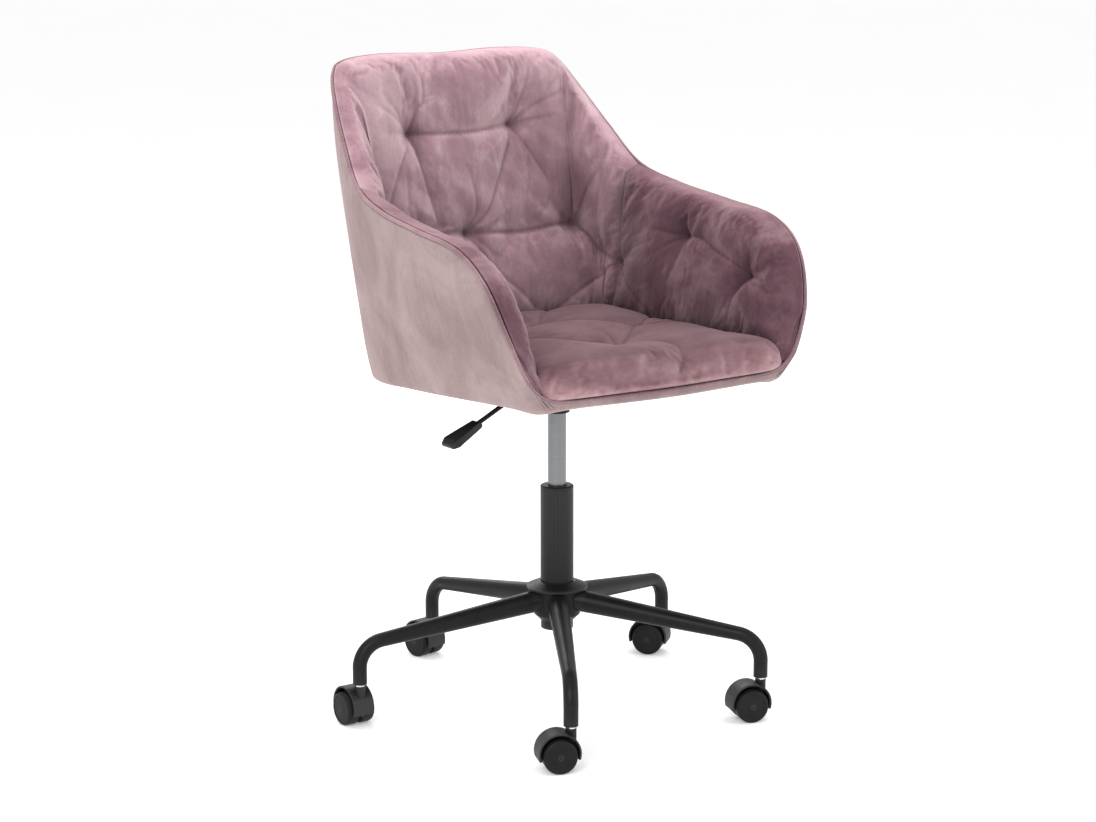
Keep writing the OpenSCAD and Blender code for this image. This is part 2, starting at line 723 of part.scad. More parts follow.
// One level of the seat cushion, drawn in by d all round
function seat_ring(d, z, lean) = [for (u = [-seat_last + 0.25:0.5:seat_last])
    let (p = side_curve(seat_xy, u, seat_last), q = p + (seat_mid - p) * d / norm([p.x, p.y - seat_mid.y]))
    [q.x, q.y, z - q.y * lean]];

module seat_cushion() {
    low = board_top + 5;
    lean = tan(seat_tilt);
    color(velvet) skin([
        seat_ring(6, low, lean), seat_ring(3, low + 3, lean), seat_ring(3, seat_top - 22, 0),
        seat_ring(6, seat_top - 10, 0), seat_ring(14, seat_top - 3, 0), seat_ring(30, seat_top, 0)
    ]);
}

// Places of the tufts in the back and the arm, as a station and a height up the padding
wall_tufts = [[0, 0.36], [0.93, 0.75], [2.9, 0.36], [7.7, 0.72], [9.2, 0.56]];
seat_tufts = [[0, -160], [-120, -40], [120, -40], [0, 45]];

module washer() {
    cylinder(h = 1.5, r = 7);
}

// Washers that the tufting twine is tied to, behind the padding and on the board
module tuft_washers() {
    color(black) {
        for (side = [-1, 1], k = wall_tufts) if (k[0] > 0 || side > 0) {
            u = side * k[0];
            d = in_dir(u, k[1]);
            translate(pad_back(u, k[1]) - d * 4.4) rotate([0, acos(d.z), atan2(d.y, d.x)]) washer();
        }
        tilted() for (p = seat_tufts) translate([p.x, p.y, board_top + 0.1]) washer();
    }
}

base_hub();
leg(0);  // leg_1
leg(1);  // leg_2
leg(2);  // leg_3
leg(3);  // leg_4
leg(4);  // leg_5
stem_sockets();
caster_stems();
grip_rings();
caster_hood(0);  // caster_1_hood
caster_axle(0);  // caster_1_axle
caster_wheel(0, 1);  // caster_1_wheel_left
caster_wheel(0, -1);  // caster_1_wheel_right
caster_hood(1);  // caster_2_hood
caster_axle(1);  // caster_2_axle
caster_wheel(1, 1);  // caster_2_wheel_left
caster_wheel(1, -1);  // caster_2_wheel_right
caster_hood(2);  // caster_3_hood
caster_axle(2);  // caster_3_axle
caster_wheel(2, 1);  // caster_3_wheel_left
caster_wheel(2, -1);  // caster_3_wheel_right
caster_hood(3);  // caster_4_hood
caster_axle(3);  // caster_4_axle
caster_wheel(3, 1);  // caster_4_wheel_left
caster_wheel(3, -1);  // caster_4_wheel_right
caster_hood(4);  // caster_5_hood
caster_axle(4);  // caster_5_axle
caster_wheel(4, 1);  // caster_5_wheel_left
caster_wheel(4, -1);  // caster_5_wheel_right
column_tube();
column_bush();
bearing_lower_race();
bearing_balls();
bearing_upper_race();
piston_rod();
rod_clip();
bump_stop();
gas_cylinder();
release_pin();
mechanism_plate();
taper_socket();
lever_pin();
lever_rod();
lever_handle();
mount_bolts();
mount_washers();
tee_nuts();
seat_board();
dust_cover();
shell_frame();
frame_screws();
outer_cover();
back_cushion();
arm_cushion_left();
arm_cushion_right();
seat_cushion();
rim_piping();
tuft_washers();
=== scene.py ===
"""Looks of the tufted velvet tub chair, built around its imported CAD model."""

import json
import math

import bmesh
import bpy
import numpy as np
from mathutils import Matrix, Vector

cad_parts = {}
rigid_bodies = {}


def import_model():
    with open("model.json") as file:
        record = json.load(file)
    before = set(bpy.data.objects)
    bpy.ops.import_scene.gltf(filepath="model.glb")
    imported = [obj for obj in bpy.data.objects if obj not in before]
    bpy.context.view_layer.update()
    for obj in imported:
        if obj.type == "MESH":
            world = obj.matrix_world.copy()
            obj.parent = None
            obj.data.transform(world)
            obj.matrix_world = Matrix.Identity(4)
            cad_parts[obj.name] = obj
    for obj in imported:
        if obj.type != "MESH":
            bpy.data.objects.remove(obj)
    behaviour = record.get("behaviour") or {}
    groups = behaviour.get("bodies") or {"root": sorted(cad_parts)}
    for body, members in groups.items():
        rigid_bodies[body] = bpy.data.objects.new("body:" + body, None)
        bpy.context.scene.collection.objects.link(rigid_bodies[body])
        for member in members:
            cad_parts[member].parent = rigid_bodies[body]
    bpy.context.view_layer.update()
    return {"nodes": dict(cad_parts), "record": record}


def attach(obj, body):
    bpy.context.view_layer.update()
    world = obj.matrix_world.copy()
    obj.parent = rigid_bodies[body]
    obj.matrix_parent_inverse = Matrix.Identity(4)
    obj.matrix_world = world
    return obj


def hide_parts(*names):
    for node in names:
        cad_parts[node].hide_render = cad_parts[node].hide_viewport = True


for start_object in list(bpy.data.objects):
    bpy.data.objects.remove(start_object)
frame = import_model()
nodes = frame["nodes"]
MM = 0.001

# ------------------------------------------------------------------ shell's shape, in mm as in the CAD

BOARD_Z = 509.0
SEAT_TILT = math.tan(math.radians(2.8))
COVER_BULGE = 8.0
LINING_Z = 540.0
BACK_HOLLOW = 22.0
PIPING_R = 3.0

RIM = np.array([
    [0, 315, 960], [106, 317, 963], [180, 304, 958], [205, 291, 942], [222, 259, 904], [240, 204, 846],
    [256, 142, 791], [270, 56, 767], [278, -52, 753], [281, -157, 739], [277, -220, 701], [262, -256, 631],
    [239, -266, 572], [213, -269, 542], [172, -271, 533], [88, -280, 533], [0, -288, 533],
], float)
FOOT_XY = np.array([
    [0, 240], [92, 238], [158, 226], [189, 209], [207, 178], [216, 134], [218, 86], [218, 20], [218, -60],
    [217, -135], [215, -195], [209, -238], [199, -257], [184, -267], [150, -273], [75, -280], [0, -284],
], float)
FOOT_DROP = np.array([8, 8, 8, 8, 8, 8, 7, 7, 6, 5, 5, 8, 7, 4, 2, 2, 2], float)
LINING_XY = np.array([
    [0, 166], [72, 165], [120, 162], [150, 158], [172, 153], [188, 146], [197, 134], [199, 40], [201, -50],
    [202, -130], [201, -185], [197, -222], [190, -240], [178, -250], [162, -254],
], float)
FOOT = np.column_stack([FOOT_XY, BOARD_Z - FOOT_DROP - FOOT_XY[:, 1] * SEAT_TILT])
LINING = np.column_stack([LINING_XY, np.full(len(LINING_XY), LINING_Z)])
LAST = len(RIM) - 1
WALL_LAST = len(LINING) - 2
SEAM_U = 6.0


def unit(v):
    """Vectors scaled to length one, along the last axis."""
    return v / np.maximum(np.linalg.norm(v, axis=-1, keepdims=True), 1e-9)


def smooth(x):
    x = np.clip(x, 0, 1)
    return x * x * (3 - 2 * x)


def curve(points, u, open_end=False):
    """Catmull-Rom curve through points at stations u, mirrored in X past its ends and for negative u."""
    u = np.asarray(u, float)
    last = len(points) - 1
    a = np.minimum(np.abs(u), last)
    flip = np.array([-1.0, 1.0, 1.0])
    tail = points[-1:] * 2 - points[-2:-1] if open_end else points[last - 1:last] * flip
    ext = np.concatenate([points[1:2] * flip, points, tail, tail])
    i = np.minimum(np.floor(a).astype(int), last - 1)
    f = (a - i)[..., None]
    p0, p1, p2, p3 = ext[i], ext[i + 1], ext[i + 2], ext[i + 3]
    q = p1 + 0.5 * f * (p2 - p0 + f * (2 * p0 - 5 * p1 + 4 * p2 - p3 + f * (3 * (p1 - p2) + p3 - p0)))
    return np.where((u < 0)[..., None], q * flip, q)


def rim_at(u):
    return curve(RIM, u)


def foot_at(u):
    return curve(FOOT, u)


def lining_at(u):
    return curve(LINING, np.clip(u, -WALL_LAST - 1, WALL_LAST + 1), open_end=True)


def out_dir(u):
    """Level unit vector out of the shell."""
    u = np.asarray(u, float)
    c = np.clip(u, -LAST + 0.05, LAST - 0.05)
    v = rim_at(c + 0.05) - rim_at(c - 0.05)
    w = foot_at(c + 0.05) - foot_at(c - 0.05)
    v[..., 2] = 0
    w[..., 2] = 0
    t = unit(v) + unit(w)
    n = unit(np.stack([-t[..., 1], t[..., 0], np.zeros_like(t[..., 0])], -1))
    p = foot_at(c)
    side = np.sign(n[..., 0] * p[..., 0] + n[..., 1] * (p[..., 1] + 20))
    return n * np.where(side == 0, 1, side)[..., None]


def outer_at(u, t):
    """Outer face of the shell, t from its foot to the rim."""
    t = np.asarray(t, float)
    a, b = foot_at(u), rim_at(u)
    h = np.linalg.norm(b - a, axis=-1)
    proud = (1 - np.abs(2 * t - 1) ** 5) * np.minimum(COVER_BULGE, h * 0.12)
    return a + (b - a) * t[..., None] + out_dir(u) * proud[..., None]


# ------------------------------------------------------------------ mesh helpers

def new_object(name, verts_mm, faces, material=None, smooth_shade=True):
    """A mesh object from points in mm."""
    mesh = bpy.data.meshes.new(name)
    mesh.from_pydata((np.asarray(verts_mm, float) * MM).tolist(), [], [tuple(int(i) for i in f) for f in faces])
    mesh.validate()
    if smooth_shade:
        mesh.polygons.foreach_set("use_smooth", [True] * len(mesh.polygons))
    obj = bpy.data.objects.new(name, mesh)
    bpy.context.scene.collection.objects.link(obj)
    if material:
        mesh.materials.append(material)
    return obj


def grid_faces(rows, cols, close_rows=False, close_cols=False, flip=False):
    """Quads over a rows by cols grid of points."""
    r = np.arange(rows if close_rows else rows - 1)
    c = np.arange(cols if close_cols else cols - 1)
    i, j = np.meshgrid(r, c, indexing="ij")
    i2, j2 = (i + 1) % rows, (j + 1) % cols
    quad = np.stack([i * cols + j, i * cols + j2, i2 * cols + j2, i2 * cols + j], -1).reshape(-1, 4)
    return quad[:, ::-1] if flip else quad


def write_field(obj, name, values):
    """Stores one number for each point of the mesh."""
    field = obj.data.attributes.new(name, "FLOAT", "POINT")
    field.data.foreach_set("value", np.asarray(values, np.float32).ravel())


def read_field(obj, name):
    values = np.empty(len(obj.data.vertices), np.float32)
    obj.data.attributes[name].data.foreach_get("value", values)
    return values.astype(float)


def fix_normals(obj, merge=True):
    bm = bmesh.new()
    bm.from_mesh(obj.data)
    if merge:
        bmesh.ops.remove_doubles(bm, verts=bm.verts, dist=1e-6)
    bmesh.ops.recalc_face_normals(bm, faces=bm.faces)
    bm.to_mesh(obj.data)
    bm.free()


def points_of(obj):
    co = np.empty(len(obj.data.vertices) * 3)
    obj.data.vertices.foreach_get("co", co)
    return co.reshape(-1, 3) / MM


def normals_of(obj):
    no = np.empty(len(obj.data.vertices) * 3, np.float32)
    obj.data.vertex_normals.foreach_get("vector", no)
    return no.reshape(-1, 3).astype(float)


def set_points(obj, p):
    obj.data.vertices.foreach_set("co", (np.asarray(p) * MM).ravel())
    obj.data.update()


def apply_modifiers(obj):
    depsgraph = bpy.context.evaluated_depsgraph_get()
    mesh = bpy.data.meshes.new_from_object(obj.evaluated_get(depsgraph), depsgraph=depsgraph)
    old = obj.data
    obj.modifiers.clear()
    obj.data = mesh
    bpy.data.meshes.remove(old)
    mesh.polygons.foreach_set("use_smooth", [True] * len(mesh.polygons))
    return obj

# ------------------------------------------------------------------ padded walls

ROLL_T = 31.0       # thickness of the wall at the rolled edge
ROLL_H = 30.0       # height of the roll above the flat of the face
CELL_PUFF = 15.0    # how far the padding swells between its tufts
PAD_END = 12.8      # station where the arm's padding runs out under the seat's front corner
# The roll's outward and downward reach, in mm, where the arm's front edge turns down to the seat
FRONT_U = [11.0, 12.0, 12.5, 13.0, 16.0]
FRONT_OUT = [(27.6, -14.3, -2.6), (33, -2, 0), (24, 0, -1), (13, 0, -1), (13, 0, -1)]
FRONT_DOWN = [(-11, 6, -27), (-4, 18, -12), (-1, 13, -4), (0, 8, -2), (0, 8, -2)]


def blurred(rows, sigma):
    """Rows evened out along the first axis by a bell curve, sigma in rows."""
    half = int(3 * sigma)
    kernel = np.exp(-0.5 * (np.arange(-half, half + 1) / sigma) ** 2)
    padded = np.pad(rows, ((half, half), (0, 0)), mode="edge")
    return np.stack([np.convolve(padded[:, i], kernel / kernel.sum(), "valid") for i in range(rows.shape[1])], -1)


def roll_reach():
    """The roll's outward and downward reach all round, evened out at the corners so that it can't fold over."""
    step = 0.02
    u = np.arange(0, LAST + step / 2, step)
    p = rim_at(u)
    along = unit(rim_at(u + 0.05) - rim_at(u - 0.05))
    n = out_dir(u)
    n = unit(n - (n * along).sum(-1, keepdims=True) * along)
    wing = smooth((u - 1.2) / 1.3) * (1 - smooth((u - 4.2) / 1.8))
    thick = (ROLL_T * (1 - 0.45 * wing))[:, None]
    down = unit(lining_at(u) - p + n * thick)
    reach = [n * thick, down * ROLL_H]
    for k, table in enumerate((FRONT_OUT, FRONT_DOWN)):
        table = np.array(table, float)
        front = np.stack([np.interp(u, FRONT_U, table[:, i]) for i in range(3)], -1)
        rows = np.where((u > FRONT_U[0])[:, None], front, reach[k])
        rows = np.concatenate([rows[:0:-1] * np.array([-1.0, 1.0, 1.0]), rows])
        wide = 1 - smooth((np.abs(np.concatenate([-u[:0:-1], u])) - 5) / 2)[:, None]
        reach[k] = blurred(rows, 0.8 / step) * wide + blurred(rows, 0.3 / step) * (1 - wide)
    return np.concatenate([-u[:0:-1], u]), reach[0], reach[1]


REACH_U, REACH_OUT, REACH_DOWN = roll_reach()


def reach_at(table, u):
    return np.stack([np.interp(u, REACH_U, table[:, i]) for i in range(3)], -1)


def face_at(u, v):
    """Inner face of the walls. v runs 0 to 1 up the face and 1 to 2 over the roll to the piping."""
    u, v = np.broadcast_arrays(np.asarray(u, float), np.asarray(v, float))
    p, out, down = rim_at(u), reach_at(REACH_OUT, u), reach_at(REACH_DOWN, u)
    crest = p + down - out
    low = lining_at(u)
    t = np.clip(v, 0, 1)[..., None]
    hollow = BACK_HOLLOW * (1 - smooth((np.abs(u) - 3.5) / 3))[..., None]
    face = low + (crest - low) * t + out_dir(u) * hollow * 6.75 * t * (1 - t) ** 2
    a = np.clip(v - 1, 0, 1)[..., None] * math.radians(84)
    roll = p + down * (1 - np.sin(a)) - out * np.cos(a)
    return np.where((v <= 1)[..., None], face, roll)


def face_normal(u, v):
    """Unit normal of the inner face, pointing at the sitter."""
    e = 0.01
    du = face_at(np.asarray(u) + e, v) - face_at(np.asarray(u) - e, v)
    dv = face_at(u, np.clip(np.asarray(v) + e, 0, 2)) - face_at(u, np.clip(np.asarray(v) - e, 0, 2))
    n = unit(np.cross(du, dv))
    p = face_at(u, v)
    ref = np.stack([-p[..., 0], -60 - p[..., 1], 900 - p[..., 2]], -1)
    return n * np.sign((n * ref).sum(-1, keepdims=True))


def back_face(u, v):
    """Hidden back of the padding, a little inside the outer cover."""
    u, v = np.broadcast_arrays(np.asarray(u, float), np.asarray(v, float))
    foot_z = foot_at(u)[..., 2]
    rim_z = rim_at(u)[..., 2]
    low = (LINING_Z - foot_z) / (rim_z - foot_z)
    t = low + (0.985 - low) * np.where(v < 1, 0.92 * v, 0.92 + 0.08 * (v - 1))
    inset = 8.0 - 4.5 * smooth((v - 1.3) / 0.6) + 3.0 * smooth((np.abs(u) - 9) / 2)
    return outer_at(u, t) - out_dir(u) * inset[..., None]


# Tufts as (station, height on the face, depth of the pull in mm, radius of the pull in mm)
BACK_TUFTS = [(-0.97, 0.78, 21, 15), (0.94, 0.79, 21, 15), (-0.1, 0.39, 24, 16), (2.94, 0.41, 22, 16),
              (-2.94, 0.41, 22, 16), (5.97, 0.45, 15, 15), (-5.97, 0.45, 15, 15)]
ARM_TUFTS = [(7.68, 0.84, 14, 11), (9.38, 0.73, 15, 11), (6.03, 0.45, 15, 15)]

# Folds as (points on the face, depth at the start, depth at the end, width) in mm
BACK_FOLDS = [
    ([(-0.97, 0.78), (-0.5, 0.775), (0, 0.775), (0.5, 0.78), (0.94, 0.79)], 10, 10, 13),
    ([(0.94, 0.79), (1.4, 0.80), (2.4, 0.83)], 8, 0.5, 14),
    ([(-0.97, 0.78), (-1.4, 0.785), (-2.2, 0.80)], 7, 0.5, 14),
    ([(-0.97, 0.78), (-0.8, 0.87), (-0.64, 0.97), (-0.52, 1.7)], 9, 2, 11),
    ([(0.94, 0.79), (1.02, 0.86), (1.06, 0.97)], 8, 0.5, 9),
    ([(0.94, 0.79), (1.14, 0.88), (1.32, 0.97), (1.5, 1.25)], 9, 1, 10),
    ([(0.94, 0.79), (1.4, 0.85), (2.5, 0.93), (3.4, 1.0), (3.8, 1.4)], 8, 1, 12),
    ([(-0.97, 0.78), (-1.5, 0.86), (-2.4, 0.95)], 7, 0.5, 12),
    ([(-0.97, 0.78), (-0.94, 0.70), (-0.88, 0.57), (-0.75, 0.44)], 10, 4, 12),
    ([(0.94, 0.79), (0.72, 0.67), (0.5, 0.56), (0.28, 0.46), (-0.1, 0.39)], 8, 9, 13),
    ([(0.94, 0.79), (1.1, 0.73), (1.46, 0.63), (1.95, 0.52)], 9, 1, 11),
    ([(-0.1, 0.39), (0.06, 0.47), (0.02, 0.56), (-0.1, 0.66)], 9, 1, 10),
    ([(-0.1, 0.39), (0.4, 0.38), (1.08, 0.37), (1.84, 0.385), (2.94, 0.41)], 11, 10, 14),
    ([(-0.1, 0.39), (-0.9, 0.385), (-1.8, 0.38), (-2.94, 0.41)], 11, 10, 14),
    ([(2.94, 0.41), (3.06, 0.50), (3.02, 0.62), (2.94, 0.71)], 9, 1, 10),
    ([(2.94, 0.41), (4.2, 0.60), (5.1, 0.86)], 9, 1, 11),
    ([(2.94, 0.41), (4.34, 0.38), (5.97, 0.45)], 9, 9, 14),
    ([(-2.94, 0.41), (-3.0, 0.50), (-2.9, 0.64)], 9, 1, 10),
    ([(-2.94, 0.41), (-4.1, 0.58), (-5.0, 0.84)], 9, 1, 11),
    ([(-2.94, 0.41), (-4.34, 0.38), (-5.97, 0.45)], 9, 9, 14),
    ([(-2.94, 0.41), (-2.0, 0.54), (-0.97, 0.78)], 6, 6, 14),
    ([(-0.1, 0.39), (0.12, 0.29), (0.46, 0.20), (1.06, 0.08)], 10, 4, 13),
    ([(-0.1, 0.39), (-0.4, 0.29), (-0.9, 0.18), (-1.5, 0.06)], 9, 4, 13),
    ([(5.97, 0.45), (4.84, 0.26), (2.72, 0.12), (1.5, 0.05)], 8, 4, 13),
    ([(-5.97, 0.45), (-4.84, 0.26), (-2.72, 0.12), (-1.6, 0.05)], 8, 4, 13),
]
ARM_FOLDS = [
    ([(7.68, 0.84), (7.66, 1.02), (7.58, 1.55)], 8, 1, 9),
    ([(7.68, 0.84), (7.2, 0.82), (6.9, 0.80)], 6, 0.5, 9),
    ([(7.68, 0.84), (8.1, 0.86), (8.56, 0.79), (9.38, 0.73)], 8, 6, 10),
    ([(9.38, 0.73), (9.9, 0.82), (10.48, 0.95), (10.8, 1.5)], 8, 1, 10),
    ([(9.38, 0.73), (9.2, 0.52), (9.3, 0.25)], 8, 2, 11),
    ([(9.38, 0.73), (9.3, 0.85), (9.25, 1.0)], 5, 0.5, 8),
    ([(7.68, 0.84), (7.9, 0.6), (8.1, 0.3)], 5, 1, 12),
    ([(6.03, 0.45), (6.56, 0.34), (6.96, 0.23), (7.3, 0.12)], 8, 2, 11),
    ([(6.03, 0.45), (6.6, 0.62), (7.1, 0.74)], 6, 0.5, 12),
]


def spline(points, n):
    """n points along a smooth line through 2-D or 3-D points, and their share of its length."""
    p = np.asarray(points, float)
    k = np.arange(len(p))
    x = np.linspace(0, len(p) - 1, n)
    i = np.minimum(x.astype(int), len(p) - 2)
    f = (x - i)[:, None]
    ext = np.concatenate([2 * p[:1] - p[1:2], p, 2 * p[-1:] - p[-2:-1]])
    a, b, c, d = ext[i], ext[i + 1], ext[i + 2], ext[i + 3]
    q = b + 0.5 * f * (c - a + f * (2 * a - 5 * b + 4 * c - d + f * (3 * (b - c) + d - a)))
    return q, x / k[-1]


def fold_samples(folds, tufts, place, normal):
    """Points, normals, depths and widths along every fold, and the same at every tuft."""
    pos, nor, dep, wid = [], [], [], []
    for points, d0, d1, w in folds:
        q, _ = spline(points, 240)
        gaps = np.linalg.norm(np.diff(place(q[:, 0], q[:, 1]), axis=0), axis=1)
        run = np.concatenate([[0], np.cumsum(gaps)])
        even = np.linspace(0, run[-1], int(run[-1] / 2.2) + 2)
        q = np.stack([np.interp(even, run, q[:, 0]), np.interp(even, run, q[:, 1])], -1)
        s = even / run[-1]
        pos.append(place(q[:, 0], q[:, 1]))
        nor.append(normal(q[:, 0], q[:, 1]))
        dep.append(d0 + (d1 - d0) * s)
        wid.append(w * (0.55 + 0.45 * np.sin(np.pi * np.clip(s * 0.9 + 0.1, 0, 1))))
    t = np.array([(a, b) for a, b, _, _ in tufts])
    return (np.concatenate(pos), np.concatenate(nor), np.concatenate(dep), np.concatenate(wid),
            place(t[:, 0], t[:, 1]), normal(t[:, 0], t[:, 1]),
            np.array([d for _, _, d, _ in tufts], float), np.array([r for _, _, _, r in tufts], float))


def across(points, centre, normal, chunk=6000):
    """For each point, its distance to each centre, counted along the surface, and its height over it.
    The swell of the padding, up to about 20 mm, doesn't count as distance."""
    for i in range(0, len(points), chunk):
        d = points[i:i + chunk, None, :] - centre[None]
        n = (d * normal[None]).sum(-1)
        above = np.maximum(np.abs(n) - 20.0, 0)
        yield i, np.sqrt(np.maximum((d * d).sum(-1) - n * n, 0) + 4 * above * above), np.abs(n)


def pulls(points, samples):
    """How far each point is drawn in by the folds and tufts, in mm, and how close it is to a tuft (0 to 1)."""
    pos, nor, dep, wid, t_pos, t_nor, t_dep, t_rad = samples
    depth = np.zeros(len(points))
    for i, r, h in across(points, pos, nor):
        valley = np.exp(-(r / (2.0 * wid)) ** 1.4) * 0.72 + np.exp(-(r / 4.2) ** 1.6) * 0.28
        depth[i:i + len(r)] = (valley * dep).max(1)
    tuft = np.zeros(len(points))
    close = np.zeros(len(points))
    for i, r, h in across(points, t_pos, t_nor):
        fall = np.exp(-(r / (1.25 * t_rad)) ** 1.05)
        tuft[i:i + len(r)] = (fall * t_dep).max(1)
        close[i:i + len(r)] = np.exp(-(r / (2.2 * t_rad)) ** 2).max(1)
    return np.sqrt(depth ** 2 + tuft ** 2), close


def inside_pad(u0, u1, u, v):
    """Share of the full swell at a place on the padding: none at its seams, its foot and the piping."""
    edge = np.minimum(np.abs(u - u0), np.abs(u - u1))
    seam = 1 - np.exp(-(edge / 0.22) ** 1.1)
    foot = smooth((v + 0.12) / 0.3)
    top = 1 - smooth((v - 1.25) / 0.7) * 0.75
    tip = 1 - smooth((np.abs(u) - 10.6) / 1.3) * 0.9
    return seam * foot * top * tip


def even_stations(u0, u1, cols):
    """Stations that are evenly far apart on the upper part of the face."""
    u = np.linspace(u0, u1, 2000)
    gaps = np.linalg.norm(np.diff(face_at(u, 0.8), axis=0), axis=1)
    run = np.concatenate([[0], np.cumsum(gaps)])
    return np.interp(np.linspace(0, run[-1], cols), run, u)


def pad_mesh(name, u0, u1, cols, open1=False):
    """Closed padding between two stations, swollen between its seams but not yet tufted.
    Each point keeps its station, its height on the face and whether it is on the front."""
    v = np.concatenate([np.linspace(0, 1, 84)[:-1], np.linspace(1, 2, 20)])
    u = even_stations(u0, u1, cols)
    uu, vv = np.meshgrid(u, v, indexing="ij")
    front = face_at(uu, vv)
    swell = CELL_PUFF * inside_pad(u0, u1 + 9 if open1 else u1, uu, vv)
    front = front + face_normal(uu, vv) * swell[..., None]
    rear = back_face(uu, vv)
    ring = np.concatenate([front, rear[:, ::-1]], axis=1)
    rows, n = ring.shape[:2]
    faces = grid_faces(rows, n, close_cols=True).tolist()
    half = n // 2
    for row, flip in ((0, True), (rows - 1, False)):
        for j in range(half - 1):
            q = [row * n + j, row * n + j + 1, row * n + n - 2 - j, row * n + n - 1 - j]
            faces.append(q[::-1] if flip else q)
    obj = new_object(name, ring.reshape(-1, 3), faces)
    write_field(obj, "station", np.concatenate([uu, uu[:, ::-1]], axis=1))
    write_field(obj, "height", np.concatenate([vv, vv[:, ::-1]], axis=1))
    write_field(obj, "front", np.concatenate([np.ones_like(uu), np.zeros_like(uu)], axis=1))
    fix_normals(obj, merge=False)
    return obj


# ------------------------------------------------------------------ cloth

def puff(obj, voxel, frames, cap, fixed, expand=0.0, pressure=4.0):
    """Let cloth under pressure swell a closed soft piece and keep the result, after a remesh if voxel is given.
    fixed(points, normals) gives each point's hold, 0 to 1. No point moves more than cap mm."""
    if voxel:
        mod = obj.modifiers.new("remesh", "REMESH")
        mod.mode = "VOXEL"
        mod.voxel_size = voxel * MM
        mod.use_smooth_shade = True
        apply_modifiers(obj)
    rest = points_of(obj)
    hold = fixed(rest, normals_of(obj))
    group = obj.vertex_groups.new(name="hold")
    for level in np.unique(np.round(hold, 1)):
        if level > 0:
            index = np.nonzero(np.round(hold, 1) == level)[0].tolist()
            group.add(index, float(level), "REPLACE")
    cloth = obj.modifiers.new("cloth", "CLOTH")
    s = cloth.settings
    s.quality = 5
    s.mass = 0.3
    s.tension_stiffness = 12
    s.compression_stiffness = 12
    s.shear_stiffness = 4
    s.bending_stiffness = 0.3
    s.use_pressure = True
    s.uniform_pressure_force = pressure
    s.vertex_group_mass = "hold"
    s.pin_stiffness = 1.0
    s.shrink_min = -expand
    s.effector_weights.gravity = 0
    cloth.collision_settings.use_collision = False
    cloth.point_cache.frame_start = 1
    cloth.point_cache.frame_end = frames
    scene = bpy.context.scene
    for f in range(1, frames + 1):
        scene.frame_set(f)
    depsgraph = bpy.context.evaluated_depsgraph_get()
    done = obj.evaluated_get(depsgraph).to_mesh()
    co = np.empty(len(done.vertices) * 3)
    done.vertices.foreach_get("co", co)
    moved = co.reshape(-1, 3) / MM - rest
    obj.evaluated_get(depsgraph).to_mesh_clear()
    obj.modifiers.clear()
    obj.vertex_groups.clear()
    scene.frame_set(1)
    far = np.linalg.norm(moved, axis=1, keepdims=True)
    moved = moved * np.minimum(1, cap * np.tanh(far / cap) / np.maximum(far, 1e-6))
    print(obj.name, "cloth moved", round(float(far.max()), 1), "mm, mean", round(float(far.mean()), 2))
    set_points(obj, rest + moved)
    sub = obj.modifiers.new("fine", "SUBSURF")
    sub.levels = 1
    sub.render_levels = 1
    apply_modifiers(obj)
    return obj


def dent(obj, depth, direction):
    """Moves the points that face direction inwards by depth mm."""
    p = points_of(obj)
    set_points(obj, p - direction * depth[:, None])


def wrinkles(points, close, scale, amount, seed):
    """Small uneven swells, stronger beside the tufts."""
    rng = np.random.default_rng(seed)
    total = np.zeros(len(points))
    for k in range(14):
        d = unit(rng.normal(size=3))
        wave = scale * (0.6 + 0.9 * rng.random())
        phase = rng.random() * 6.28
        bend = np.sin(points @ unit(rng.normal(size=3)) / (wave * 2.3) + phase) * 1.3
        total += np.sin(points @ d * 6.28 / wave + bend + phase)
    return total / 14 * amount * (0.5 + close)


def tufted_pad(name, u0, u1, cols, tufts, folds, seed, open1=False):
    """One padded wall: swollen, tufted and folded."""
    obj = pad_mesh(name, u0, u1, cols, open1)
    t = np.array([(a, b) for a, b, _, _ in tufts])
    t_pos = face_at(t[:, 0], t[:, 1])
    t_nor = face_normal(t[:, 0], t[:, 1])

    def fixed(points, normals):
        uu, vv = read_field(obj, "station"), read_field(obj, "height")
        hold = np.where(read_field(obj, "front") < 0.5, 1.0, 0.0)
        edge = np.minimum(np.abs(uu - u0), np.abs(uu - u1) + (9 if open1 else 0))
        hold = np.maximum(hold, 1 - smooth(edge / 0.12))
        hold = np.maximum(hold, smooth((vv - 1.25) / 0.4))
        hold = np.maximum(hold, 1 - smooth(vv / 0.04))
        for i, r, h in across(points, t_pos, t_nor):
            near = np.where(h < 60, np.exp(-(r / 8.0) ** 4), 0).max(1)
            hold[i:i + len(r)] = np.maximum(hold[i:i + len(r)], near)
        return hold

    puff(obj, None, 20, 10.0, fixed, expand=0.02)
    p = points_of(obj)
    uu, vv = read_field(obj, "station"), np.clip(read_field(obj, "height"), 0, 2)
    samples = fold_samples(folds, tufts, face_at, face_normal)
    depth, close = pulls(face_at(uu, vv), samples)
    rim = 1 - smooth((vv - 1.3) / 0.5)
    tip = 1 - 0.85 * smooth((np.abs(uu) - 10.9) / 1.0)
    fine = wrinkles(p, close, 55.0, 2.6, seed)
    room = np.maximum(np.linalg.norm(p - back_face(uu, vv), axis=1) - 9.0, 0)
    pull = np.minimum((depth + fine) * rim * tip, room)
    dent(obj, pull * read_field(obj, "front"), face_normal(uu, vv))
    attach(obj, "seat")
    return obj


# ------------------------------------------------------------------ seat cushion

SEAT_HALF = np.array([
    [0, 165], [72, 164], [120, 161], [150, 157], [172, 150], [188, 140], [196, 122], [199, 40], [201, -50],
    [202, -130], [206, -190], [215, -226], [221, -244], [213, -263], [180, -276], [88, -285], [0, -291],
], float)
SEAT_MID = np.array([0.0, -60.0])
SEAT_TOP = 575.0
SEAT_CROWN = 5.0


